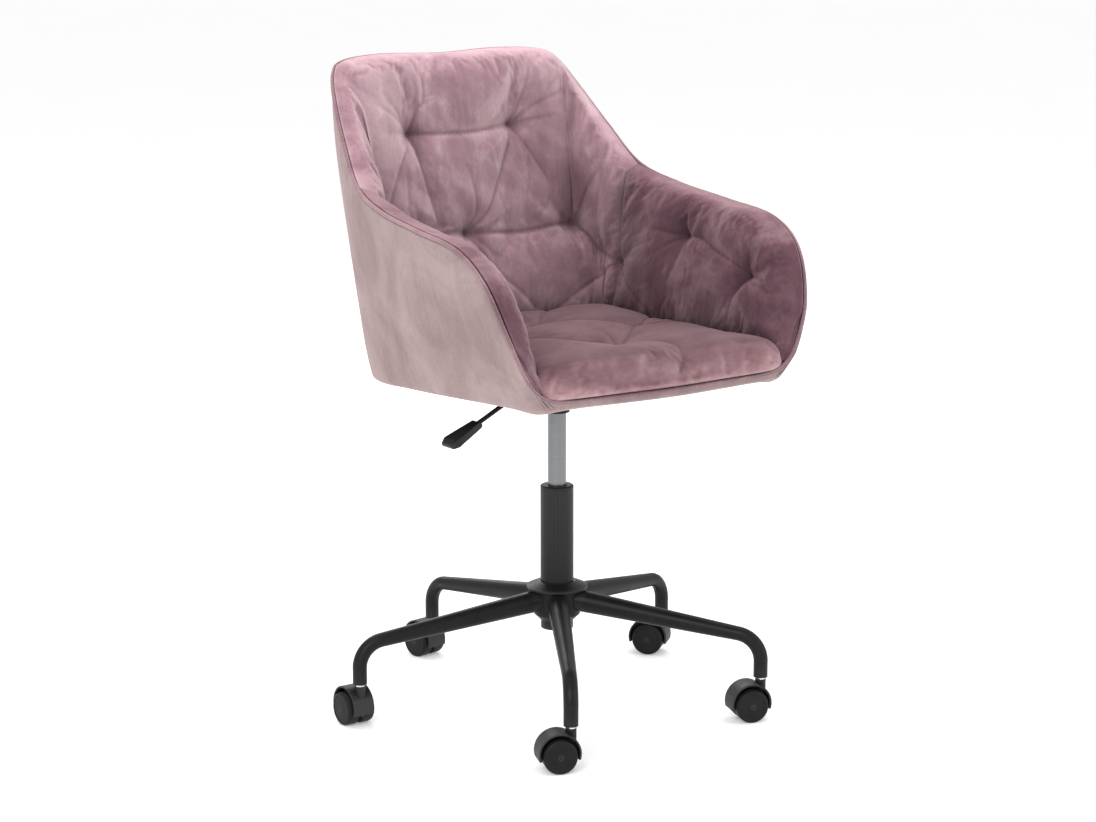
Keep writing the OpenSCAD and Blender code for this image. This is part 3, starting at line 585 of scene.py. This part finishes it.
def seat_outline(n):
    half = curve(np.column_stack([SEAT_HALF, np.zeros(len(SEAT_HALF))]), np.linspace(-16, 16, n, endpoint=False))
    return half[:, :2]


_line = seat_outline(720) - SEAT_MID
_angle = np.arctan2(_line[:, 1], _line[:, 0])
_order = np.argsort(_angle)
SEAT_ANGLE = _angle[_order]
SEAT_REACH = np.linalg.norm(_line, axis=1)[_order]


def seat_reach(x, y):
    a = np.arctan2(y - SEAT_MID[1], x - SEAT_MID[0])
    return np.interp(a, SEAT_ANGLE, SEAT_REACH, period=2 * math.pi)


def seat_roll(y):
    return 15.0 + 13.0 * smooth((-y - 170) / 90)


def seat_top(x, y):
    """Height of the cushion's top, rolling down at its edge."""
    x, y = np.asarray(x, float), np.asarray(y, float)
    reach = seat_reach(x, y)
    share = np.hypot(x - SEAT_MID[0], y - SEAT_MID[1]) / reach
    inset = (1 - share) * reach
    r = seat_roll(y)
    fall = r - np.sqrt(np.maximum(r * r - np.maximum(r - inset, 0) ** 2, 0))
    return SEAT_TOP - fall + SEAT_CROWN * (1 - share ** 2)


def seat_place(x, y):
    x, y = np.asarray(x, float), np.asarray(y, float)
    return np.stack([x, y, seat_top(x, y)], -1)


def seat_normal(x, y):
    e = 1.0
    dx = seat_place(x + e, y) - seat_place(x - e, y)
    dy = seat_place(x, y + e) - seat_place(x, y - e)
    return unit(np.cross(dx, dy))


SEAT_TUFTS = [(6, -150, 17, 17), (-112, -40, 16, 17), (118, -38, 16, 17), (0, 48, 16, 17)]
SEAT_FOLDS = [
    ([(6, -150), (-50, -100), (-112, -40)], 9, 8, 13),
    ([(6, -150), (60, -100), (118, -38)], 9, 8, 13),
    ([(0, 48), (-58, 8), (-112, -40)], 8, 8, 13),
    ([(0, 48), (60, 10), (118, -38)], 8, 8, 13),
    ([(6, -150), (14, -110), (10, -60)], 9, 0.5, 12),
    ([(0, 48), (40, 95), (92, 150)], 8, 6, 12),
    ([(0, 48), (-40, 95), (-92, 150)], 8, 6, 12),
    ([(118, -38), (155, -10), (192, 20)], 9, 7, 12),
    ([(-112, -40), (-150, -12), (-190, 18)], 9, 7, 12),
    ([(6, -150), (38, -168), (52, -215), (34, -262), (16, -286)], 9, 5, 10),
    ([(118, -38), (140, -100), (150, -150)], 5, 0.5, 12),
    ([(-112, -40), (-135, -100), (-146, -150)], 5, 0.5, 12),
    ([(6, -150), (-30, -185), (-60, -215)], 4, 0.5, 10),
]


def seat_mesh(name):
    """Closed crowned cushion with a rolled front, not yet tufted."""
    n = 360
    line = seat_outline(n)
    reach = np.linalg.norm(line - SEAT_MID, axis=1)
    y = line[:, 1]
    base = BOARD_Z + 12.5 - y * SEAT_TILT
    r = seat_roll(y)
    shoulder = SEAT_TOP - r
    front = smooth((-y - 200) / 60)
    rings = []

    def ring(share, z):
        p = SEAT_MID + (line - SEAT_MID) * np.asarray(share)[..., None]
        rings.append(np.column_stack([p, z]))

    ring(0.9 + 0 * reach, base)
    for k in np.linspace(0, 1, 9):
        belly = 3.0 * front * math.sin(math.pi * k)
        ring(1 - (4.0 * (1 - k) ** 2 - belly) / reach, base + (shoulder - base) * k)
    for a in np.linspace(0, math.pi / 2, 10)[1:]:
        share = 1 - r * (1 - math.cos(a)) / reach
        ring(share, shoulder + r * math.sin(a) + SEAT_CROWN * (1 - share ** 2))
    inner = 1 - r / reach
    for k in np.linspace(1, 0.04, 40)[1:]:
        share = inner * k
        ring(share, SEAT_TOP + SEAT_CROWN * (1 - share ** 2))
    points = np.concatenate(rings)
    faces = grid_faces(len(rings), n, close_cols=True).tolist()
    faces.append(list(range(n))[::-1])
    faces.append([(len(rings) - 1) * n + i for i in range(n)])
    obj = new_object(name, points, faces)
    fix_normals(obj)
    return obj


def seat_cushion():
    obj = seat_mesh("seat_cushion_velvet")
    tufts = np.array([t[:2] for t in SEAT_TUFTS], float)
    t_pos, t_nor = seat_place(tufts[:, 0], tufts[:, 1]), seat_normal(tufts[:, 0], tufts[:, 1])

    def fixed(points, normals):
        low = BOARD_Z + 12.5 - points[:, 1] * SEAT_TILT
        hold = np.where(points[:, 2] < low + 7, 1.0, 0.0)
        reach = seat_reach(points[:, 0], points[:, 1])
        inset = reach - np.hypot(points[:, 0] - SEAT_MID[0], points[:, 1] - SEAT_MID[1])
        wall = (1 - smooth((inset - 4) / 8)) * smooth((points[:, 1] + 215) / 30)
        hold = np.maximum(hold, wall)
        for i, r, h in across(points, t_pos, t_nor):
            near = np.where(h < 30, np.exp(-(r / 9.0) ** 4), 0).max(1)
            hold[i:i + len(r)] = np.maximum(hold[i:i + len(r)], near)
        return hold

    puff(obj, 5.0, 20, 11.0, fixed, expand=0.02)
    p = points_of(obj)
    up = seat_normal(p[:, 0] * 0.985, SEAT_MID[1] + (p[:, 1] - SEAT_MID[1]) * 0.985)
    facing = smooth(((normals_of(obj) * up).sum(1) + 0.05) / 0.5)
    samples = fold_samples(SEAT_FOLDS, SEAT_TUFTS, seat_place, seat_normal)
    depth, close = pulls(p, samples)
    gather = np.exp(-((p[:, 1] + 291) / 14) ** 2) * np.exp(-((p[:, 2] - 552) / 14) ** 2)
    ripple = gather * (np.sin(p[:, 0] / 5.2) + np.sin(p[:, 0] / 8.3 + 1.0)) * 0.7
    fine = wrinkles(p, close, 60.0, 2.4, 11)
    dent(obj, (depth + fine) * facing + ripple, up)
    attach(obj, "seat")
    return obj


# ------------------------------------------------------------------ outer cover and piping

def outer_cover():
    """Velvet sleeve round the shell, turned under at its foot, with a seam at each rear corner."""
    n_u = 840
    u = np.linspace(-LAST, LAST, n_u, endpoint=False)
    a, b, n = foot_at(u), rim_at(u), out_dir(u)
    h = np.linalg.norm(b - a, axis=-1)
    r = np.minimum(9.0, 0.36 * h)

    def under(inset, up=0.0):
        """The hem's underside, level with the foot at its edge and up against the board further in."""
        q = a - n * (np.ones(n_u) * inset)[:, None]
        board = BOARD_Z - 2.2 - q[:, 1] * SEAT_TILT
        q[:, 2] += (board - a[:, 2]) * smooth((inset - r) / (26 - r)) + up
        return q

    section = []
    for d in (27.0, 22.0, 17.0, 13.0):
        section.append(under(d))
    face0 = outer_at(u, r / h)
    corner = a.copy()
    flat = under(r)
    for k in np.linspace(0, 1, 7)[:-1]:
        section.append((1 - k) ** 2 * flat + 2 * k * (1 - k) * corner + k * k * face0)
    top = 1 - 1.6 / h
    rows = np.linspace(0, 1, 46)
    seam = np.exp(-((np.abs(u) - 3.6) / 0.035) ** 2)
    for k in rows:
        t = r / h + (top - r / h) * k
        p = outer_at(u, t)
        sway = np.sin(p[:, 2] / 61 + p[:, 0] / 47) + np.sin(p[:, 1] / 53 - p[:, 2] / 83 + 1.3)
        pleat_u = np.abs(u) - 12.75
        pleats = np.exp(-(pleat_u / 0.5) ** 2) * np.sin(pleat_u * 17) * 1.1 * math.exp(-((k - 0.45) / 0.4) ** 2)
        lift = 0.55 * sway * np.minimum(1, 6 * k * (1 - k)) * np.minimum(1, h / 150) - 1.5 * seam + pleats
        section.append(p + n * lift[:, None])
    for k in rows[::-5]:
        t = r / h + (top - r / h) * k
        section.append(outer_at(u, t) - n * 3.4)
    section.append(flat + np.array([0, 0, 1.6]))
    section.append(under(20.0, 1.4))
    section.append(under(27.0, 1.4))
    ring = np.stack(section, 1)
    obj = new_object("outer_cover_velvet", ring.reshape(-1, 3),
                     grid_faces(n_u, ring.shape[1], close_rows=True, close_cols=True))
    fix_normals(obj)
    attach(obj, "seat")
    return obj


def sweep(name, path, across_dir, radius, sides, closed=True):
    """Round cord along a path, with a radius for each point."""
    nxt, prv = np.roll(path, -1, 0), np.roll(path, 1, 0)
    t = unit(nxt - prv)
    c = unit(across_dir - t * (across_dir * t).sum(1, keepdims=True))
    d = np.cross(t, c)
    a = np.linspace(0, 2 * math.pi, sides, endpoint=False)
    radius = np.broadcast_to(radius, (len(path),))[:, None, None]
    ring = path[:, None] + radius * (np.cos(a)[None, :, None] * c[:, None] + np.sin(a)[None, :, None] * d[:, None])
    obj = new_object(name, ring.reshape(-1, 3), grid_faces(len(path), sides, close_rows=closed, close_cols=True))
    fix_normals(obj)
    return obj


def even_path(place, u0, u1, step, closed=True):
    """Points of place(u) spaced evenly, with their stations."""
    u = np.linspace(u0, u1, 6000, endpoint=not closed)
    p = place(u)
    d = np.concatenate([[0], np.cumsum(np.linalg.norm(np.diff(p, axis=0), axis=1))])
    s = np.linspace(0, d[-1], int(d[-1] / step), endpoint=not closed)
    uu = np.interp(s, d, u)
    return place(uu), uu, s


def piping():
    path, u, s = even_path(rim_at, -LAST, LAST, 1.7)
    r = PIPING_R + 0.10 * np.sin(s * 2 * math.pi / 7.1) + 0.08 * np.sin(s * 2 * math.pi / 23.0)
    obj = sweep("rim_piping_velvet", path, out_dir(u), r, 16)
    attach(obj, "seat")
    return obj


# ------------------------------------------------------------------ materials

class Shader:
    """Small helper that wires a node material in object space, in metres."""

    def __init__(self, name):
        self.mat = bpy.data.materials.new(name)
        self.mat.use_nodes = True
        self.tree = self.mat.node_tree
        self.tree.nodes.clear()
        self.out = self.node("ShaderNodeOutputMaterial")
        self.bsdf = self.node("ShaderNodeBsdfPrincipled")
        self.link(self.bsdf.outputs[0], self.out.inputs["Surface"])
        self.coord = self.node("ShaderNodeTexCoord").outputs["Object"]

    def node(self, kind, **settings):
        n = self.tree.nodes.new(kind)
        for key, value in settings.items():
            setattr(n, key, value)
        return n

    def link(self, a, b):
        self.tree.links.new(a, b)

    def set(self, **values):
        for key, value in values.items():
            socket = self.bsdf.inputs[key.replace("_", " ")]
            if hasattr(value, "is_output"):
                self.link(value, socket)
            else:
                socket.default_value = value

    def scaled(self, scale, rotation=(0, 0, 0)):
        m = self.node("ShaderNodeMapping")
        self.link(self.coord, m.inputs["Vector"])
        m.inputs["Scale"].default_value = scale
        m.inputs["Rotation"].default_value = rotation
        return m.outputs[0]

    def noise(self, scale, detail=4.0, rough=0.55, stretch=(1, 1, 1), distortion=0.0):
        n = self.node("ShaderNodeTexNoise")
        self.link(self.scaled(stretch), n.inputs["Vector"])
        n.inputs["Scale"].default_value = scale
        n.inputs["Detail"].default_value = detail
        n.inputs["Roughness"].default_value = rough
        n.inputs["Distortion"].default_value = distortion
        return n.outputs["Fac"]

    def wave(self, scale, stretch=(1, 1, 1), distortion=0.0, bands="X"):
        n = self.node("ShaderNodeTexWave", bands_direction=bands)
        self.link(self.scaled(stretch), n.inputs["Vector"])
        n.inputs["Scale"].default_value = scale
        n.inputs["Distortion"].default_value = distortion
        n.inputs["Detail"].default_value = 2.0
        return n.outputs["Fac"]

    def remap(self, value, low, high, to_low, to_high):
        n = self.node("ShaderNodeMapRange", clamp=True)
        self.link(value, n.inputs["Value"])
        for key, x in zip(("From Min", "From Max", "To Min", "To Max"), (low, high, to_low, to_high)):
            n.inputs[key].default_value = x
        return n.outputs[0]

    def math(self, operation, a, b):
        n = self.node("ShaderNodeMath", operation=operation)
        for socket, x in zip(n.inputs, (a, b)):
            if hasattr(x, "is_output"):
                self.link(x, socket)
            else:
                socket.default_value = x
        return n.outputs[0]

    def mix(self, factor, a, b, blend="MIX"):
        n = self.node("ShaderNodeMix", data_type="RGBA", blend_type=blend)
        for socket, x in ((n.inputs[0], factor), (n.inputs[6], a), (n.inputs[7], b)):
            if hasattr(x, "is_output"):
                self.link(x, socket)
            elif isinstance(x, (tuple, list)):
                socket.default_value = (*x[:3], 1.0)
            else:
                socket.default_value = x
        return n.outputs[2]

    def pointiness(self, low, high):
        g = self.node("ShaderNodeNewGeometry")
        return self.remap(g.outputs["Pointiness"], low, high, 0.0, 1.0)

    def facing(self, blend=0.5):
        n = self.node("ShaderNodeLayerWeight")
        n.inputs["Blend"].default_value = blend
        return n.outputs["Facing"]

    def bump(self, height, strength, distance, normal=None):
        n = self.node("ShaderNodeBump")
        n.inputs["Strength"].default_value = strength
        n.inputs["Distance"].default_value = distance
        self.link(height, n.inputs["Height"])
        if normal is not None:
            self.link(normal, n.inputs["Normal"])
        return n.outputs[0]


def velvet(name, base, light, shade, streak=(1.0, 1.0, 0.25), top_shade=1.0):
    """Short-pile velvet: pile patches and brush marks, a painted sheen where it turns away from the view, a
    painted highlight on its ridges, painted shade in its folds and hollows, and a fine pile.
    Its last argument sets how bright its up-facing tops are, a painted shade there, against 1 on the sides."""
    s = Shader(name)
    patch = s.remap(s.noise(5.5, 4.0, 0.55, distortion=1.6), 0.36, 0.64, 0.0, 1.0)
    handled = s.remap(s.noise(13.0, 5.0, 0.62, distortion=2.6), 0.56, 0.78, 0.0, 1.0)
    brush = s.remap(s.noise(30.0, 5.0, 0.62, stretch=streak, distortion=0.9), 0.36, 0.64, 0.0, 1.0)
    grain = s.noise(420.0, 3.0, 0.6, stretch=streak)
    pile = s.noise(1500.0, 2.0, 0.6)
    # painted sheen: the colour turns paler where the surface turns away from the view
    turned = s.remap(s.facing(0.5), 0.05, 0.7, 0.0, 1.0)
    # painted highlight on convex ridges and painted shade in creases, read from the mesh's pointiness
    ridge_light_and_crease_shade = s.pointiness(0.47, 0.54)
    # real pile patches, brush marks and handled marks, mixed with the painted sheen, ridge highlight and crease
    # shade
    nap_and_painted_light = s.math("MULTIPLY", patch, 0.34)
    for layer, share in ((brush, 0.13), (turned, 0.42), (ridge_light_and_crease_shade, 0.30), (handled, 0.15)):
        nap_and_painted_light = s.math("ADD", nap_and_painted_light, s.math("MULTIPLY", layer, share))
    # ramp from the shade colour through base to the light colour: partly the pile's own tone, partly painted light
    # and shade
    low = s.remap(nap_and_painted_light, 0.10, 0.5, 0.0, 1.0)
    high = s.remap(nap_and_painted_light, 0.5, 1.0, 0.0, 1.0)
    colour = s.mix(high, s.mix(low, shade, base), light)
    # painted shade: the colour is darkened in hollows and between parts by ambient occlusion, near and far
    for reach, darkest in ((0.03, 0.45), (0.22, 0.60)):
        occlusion_shade = s.node("ShaderNodeAmbientOcclusion", samples=4)
        occlusion_shade.inputs["Distance"].default_value = reach
        colour = s.mix(1.0, colour, s.remap(occlusion_shade.outputs["AO"], 0.3, 0.92, darkest, 1.0), "MULTIPLY")
    colour = s.mix(1.0, colour, s.remap(grain, 0.3, 0.7, 0.93, 1.06), "MULTIPLY")
    # painted shade on up-facing surfaces: their colour is multiplied by the top factor
    split = s.node("ShaderNodeSeparateXYZ")
    s.link(s.node("ShaderNodeNewGeometry").outputs["Normal"], split.inputs[0])
    flat = s.remap(split.outputs["Z"], 0.25, 0.95, 0.0, 1.0)
    colour = s.mix(flat, colour, s.mix(1.0, colour, (top_shade, top_shade * 0.88, top_shade * 0.92), "MULTIPLY"))
    s.set(Base_Color=colour, Roughness=0.85, Sheen_Weight=0.16, Sheen_Roughness=0.4,
          Sheen_Tint=(1.0, 0.72, 0.78, 1.0), Specular_IOR_Level=0.06)
    soft = s.bump(brush, 0.12, 0.0012)
    s.set(Normal=s.bump(pile, 0.22, 0.0004, soft))
    return s.mat


def powder_coat(name, base=(0.0065, 0.0065, 0.0072)):
    """Satin black powder coat with a fine orange peel and slightly rubbed edges."""
    s = Shader(name)
    peel = s.noise(900.0, 2.0, 0.5)
    cloud = s.noise(22.0, 4.0, 0.6)
    colour = s.mix(s.remap(cloud, 0.3, 0.7, 0, 1), base, tuple(1.6 * c for c in base))
    colour = s.mix(s.math("MULTIPLY", s.pointiness(0.53, 0.62), 0.5), colour, (0.05, 0.05, 0.052))
    s.set(Base_Color=colour, Roughness=s.remap(cloud, 0.3, 0.7, 0.36, 0.48), Specular_IOR_Level=0.15)
    s.set(Normal=s.bump(peel, 0.12, 0.0003))
    return s.mat


def moulded(name, base=(0.0065, 0.0065, 0.0072), rough=0.48, grain=700.0):
    """Moulded nylon with a spark-eroded grain and paler scuffs on its edges."""
    s = Shader(name)
    fine = s.noise(grain, 3.0, 0.7)
    cloud = s.noise(35.0, 4.0, 0.6)
    colour = s.mix(s.remap(cloud, 0.35, 0.7, 0, 1), base, tuple(1.9 * c for c in base))
    colour = s.mix(s.math("MULTIPLY", s.pointiness(0.53, 0.60), 0.45), colour, (0.06, 0.06, 0.062))
    s.set(Base_Color=colour, Roughness=s.remap(cloud, 0.3, 0.7, rough - 0.05, rough + 0.08),
          Specular_IOR_Level=0.15)
    s.set(Normal=s.bump(fine, 0.16, 0.0004))
    return s.mat


def metal(name, base, rough, stretch=(1, 1, 60), scale=30.0):
    """Bright or ground steel with fine lines and a few smudges."""
    s = Shader(name)
    lines = s.noise(scale, 4.0, 0.6, stretch=stretch)
    smudge = s.noise(18.0, 3.0, 0.5)
    colour = s.mix(s.remap(lines, 0.3, 0.7, 0, 1), tuple(0.86 * c for c in base), base)
    s.set(Base_Color=colour, Metallic=1.0, Roughness=s.remap(smudge, 0.3, 0.7, rough * 0.85, rough * 1.25))
    s.set(Normal=s.bump(lines, 0.05, 0.0002))
    return s.mat


def plywood(name):
    """Beech plywood: long grain on the faces, plies on the edge."""
    s = Shader(name)
    grain = s.noise(26.0, 6.0, 0.65, stretch=(6, 0.5, 1), distortion=0.5)
    ply = s.wave(330.0, bands="Z")
    colour = s.mix(s.remap(grain, 0.3, 0.7, 0, 1), (0.42, 0.27, 0.14), (0.62, 0.44, 0.26))
    colour = s.mix(s.math("MULTIPLY", ply, 0.35), colour, (0.30, 0.18, 0.09))
    s.set(Base_Color=colour, Roughness=0.62)
    s.set(Normal=s.bump(grain, 0.15, 0.0005))
    return s.mat


def felt(name, base):
    """Thin non-woven cloth with pressed dots."""
    s = Shader(name)
    dots = s.node("ShaderNodeTexVoronoi")
    s.link(s.coord, dots.inputs["Vector"])
    dots.inputs["Scale"].default_value = 420.0
    fibre = s.noise(600.0, 4.0, 0.7, stretch=(1, 0.3, 1))
    colour = s.mix(s.remap(fibre, 0.3, 0.7, 0, 1), base, tuple(2.4 * c for c in base))
    s.set(Base_Color=colour, Roughness=0.95, Specular_IOR_Level=0.1)
    s.set(Normal=s.bump(dots.outputs["Distance"], 0.3, 0.0005))
    return s.mat


def rubber(name):
    s = Shader(name)
    s.set(Base_Color=s.mix(s.remap(s.noise(60.0), 0.3, 0.7, 0, 1), (0.012, 0.012, 0.012), (0.03, 0.029, 0.028)),
          Roughness=0.85, Normal=s.bump(s.noise(500.0), 0.2, 0.0004))
    return s.mat


# ------------------------------------------------------------------ build

# One rose velvet in lit and shaded copies: the arm copy is darker as painted shade inside the arms, the outer copy
# paler and greyer as painted light on the outside of the shell.
ROSE = dict(base=(0.285, 0.178, 0.203), light=(0.580, 0.440, 0.460), shade=(0.125, 0.068, 0.084))
ROSE_ARM_SHADED = dict(base=(0.120, 0.063, 0.078), light=(0.300, 0.210, 0.225), shade=(0.050, 0.024, 0.032))
ROSE_OUT_LIT = dict(base=(0.255, 0.184, 0.184), light=(0.375, 0.292, 0.288), shade=(0.180, 0.120, 0.124))

velvet_back = velvet("velvet_back", **ROSE)
velvet_arm_shaded = velvet("velvet_arm_shaded", **ROSE_ARM_SHADED)
# The seat copy carries a painted shade on its up-facing top.
velvet_seat = velvet("velvet_seat", base=(0.290, 0.172, 0.186), light=(0.470, 0.330, 0.342),
                     shade=(0.170, 0.088, 0.102), streak=(0.25, 1.0, 1.0), top_shade=0.36)
velvet_out_lit = velvet("velvet_outer_lit", **ROSE_OUT_LIT)
velvet_cord = velvet("velvet_piping", base=(0.200, 0.120, 0.138), light=(0.340, 0.235, 0.250),
                     shade=(0.110, 0.060, 0.072), streak=(1, 1, 1))

SLOT_MATERIALS = {
    "black_steel": powder_coat("black_powder_coat"),
    "black_plastic": moulded("black_nylon"),
    "grip_plastic": moulded("smooth_black_grip", rough=0.38, grain=300.0),
    "white_plastic": moulded("plain_white_plastic", base=(0.60, 0.60, 0.58), rough=0.45),
    "bright_steel": metal("plated_steel", (0.72, 0.73, 0.75), 0.16),
    "tube_steel": metal("ground_steel_tube", (0.20, 0.205, 0.21), 0.28),
    "zinc": metal("zinc_plated_steel", (0.60, 0.61, 0.62), 0.38, stretch=(1, 1, 1), scale=120.0),
    "stop_rubber": rubber("stop_rubber"),
    "plywood": plywood("beech_plywood"),
    "lining": felt("black_lining_cloth", (0.012, 0.012, 0.013)),
    "velvet": velvet_out_lit,
    "piping": velvet_cord,
}

slots = {row["node"]: row["material_slot"] for row in frame["record"]["subparts"]}
for name, obj in nodes.items():
    obj.data.materials.clear()
    obj.data.materials.append(SLOT_MATERIALS[slots[name]])


def finish_piece(obj, material, slot_name, *replaced):
    obj.data.materials.clear()
    obj.data.materials.append(material)
    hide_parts(*replaced)


def mirrored(obj, name):
    """A copy of a finished piece on the other side of the chair."""
    p = points_of(obj) * np.array([-1.0, 1.0, 1.0])
    faces = [tuple(reversed(f.vertices)) for f in obj.data.polygons]
    copy = new_object(name, p, faces)
    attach(copy, "seat")
    return copy


back = tufted_pad("back_padding", -SEAM_U - 0.03, SEAM_U + 0.03, 220, BACK_TUFTS, BACK_FOLDS, 3)
finish_piece(back, velvet_back, "velvet", "back_cushion")
left = tufted_pad("arm_padding_left", SEAM_U - 0.03, PAD_END, 130, ARM_TUFTS, ARM_FOLDS, 5, open1=True)
finish_piece(left, velvet_arm_shaded, "velvet", "arm_cushion_left")
right = mirrored(left, "arm_padding_right")
finish_piece(right, velvet_arm_shaded, "velvet", "arm_cushion_right")
seat = seat_cushion()
finish_piece(seat, velvet_seat, "velvet", "seat_cushion")
cover = outer_cover()
finish_piece(cover, velvet_out_lit, "velvet", "outer_cover")
cord = piping()
finish_piece(cord, velvet_cord, "piping", "rim_piping")

# ------------------------------------------------------------------ stage

CAMERA_TURN = -0.6108652     # about the chair, from the front towards its right
CAMERA_RISE = 0.2076888
CAMERA_DISTANCE = 4.29062
CAMERA_AIM = Vector((0, 0, 0.45256))
SENSOR = 36.0
LENS = SENSOR * 2881.79 / 1096


def area_light(name, place, aim, size, power, colour=(1, 1, 1)):
    data = bpy.data.lights.new(name, "AREA")
    data.shape = "RECTANGLE"
    data.size, data.size_y = size
    data.energy = power
    data.color = colour
    obj = bpy.data.objects.new(name, data)
    bpy.context.scene.collection.objects.link(obj)
    obj.location = place
    obj.rotation_euler = (Vector(aim) - Vector(place)).to_track_quat("-Z", "Y").to_euler()
    return obj


def build_stage():
    floor = new_object("floor", [(-40000, -40000, 0), (40000, -40000, 0), (40000, 40000, 0), (-40000, 40000, 0)],
                       [(0, 1, 2, 3)], smooth_shade=False)
    s = Shader("pale_floor")
    s.set(Base_Color=s.mix(s.noise(3.0), (0.86, 0.86, 0.86), (0.90, 0.90, 0.90)), Roughness=0.9,
          Specular_IOR_Level=0.1, Emission_Color=(1, 1, 1, 1), Emission_Strength=0.22)
    floor.data.materials.append(s.mat)
    world = bpy.data.worlds.new("studio")
    bpy.context.scene.world = world
    world.use_nodes = True
    world.node_tree.nodes["Background"].inputs["Color"].default_value = (1, 1, 1, 1)
    world.node_tree.nodes["Background"].inputs["Strength"].default_value = 0.85
    area_light("key", (-3.4, -2.6, 3.0), (0, 0, 0.6), (2.2, 2.2), 110)
    area_light("fill", (2.6, -3.4, 1.8), (0, 0, 0.6), (2.4, 2.0), 40)
    area_light("top", (0.2, 0.4, 3.6), (0, 0, 0.5), (2.6, 2.6), 60)
    area_light("back", (1.5, 3.4, 2.2), (0, 0, 0.7), (2.0, 1.6), 40)
    data = bpy.data.cameras.new("camera")
    data.sensor_width = SENSOR
    data.lens = LENS
    data.shift_x = -9 / 1096
    data.clip_end = 60
    cam = bpy.data.objects.new("camera", data)
    bpy.context.scene.collection.objects.link(cam)
    back_dir = Vector((math.sin(CAMERA_TURN) * math.cos(CAMERA_RISE),
                       -math.cos(CAMERA_TURN) * math.cos(CAMERA_RISE), math.sin(CAMERA_RISE)))
    cam.location = CAMERA_AIM + CAMERA_DISTANCE * back_dir
    cam.rotation_euler = (-back_dir).to_track_quat("-Z", "Y").to_euler()
    bpy.context.scene.camera = cam
    bpy.context.scene.view_settings.view_transform = "Standard"


build_stage()
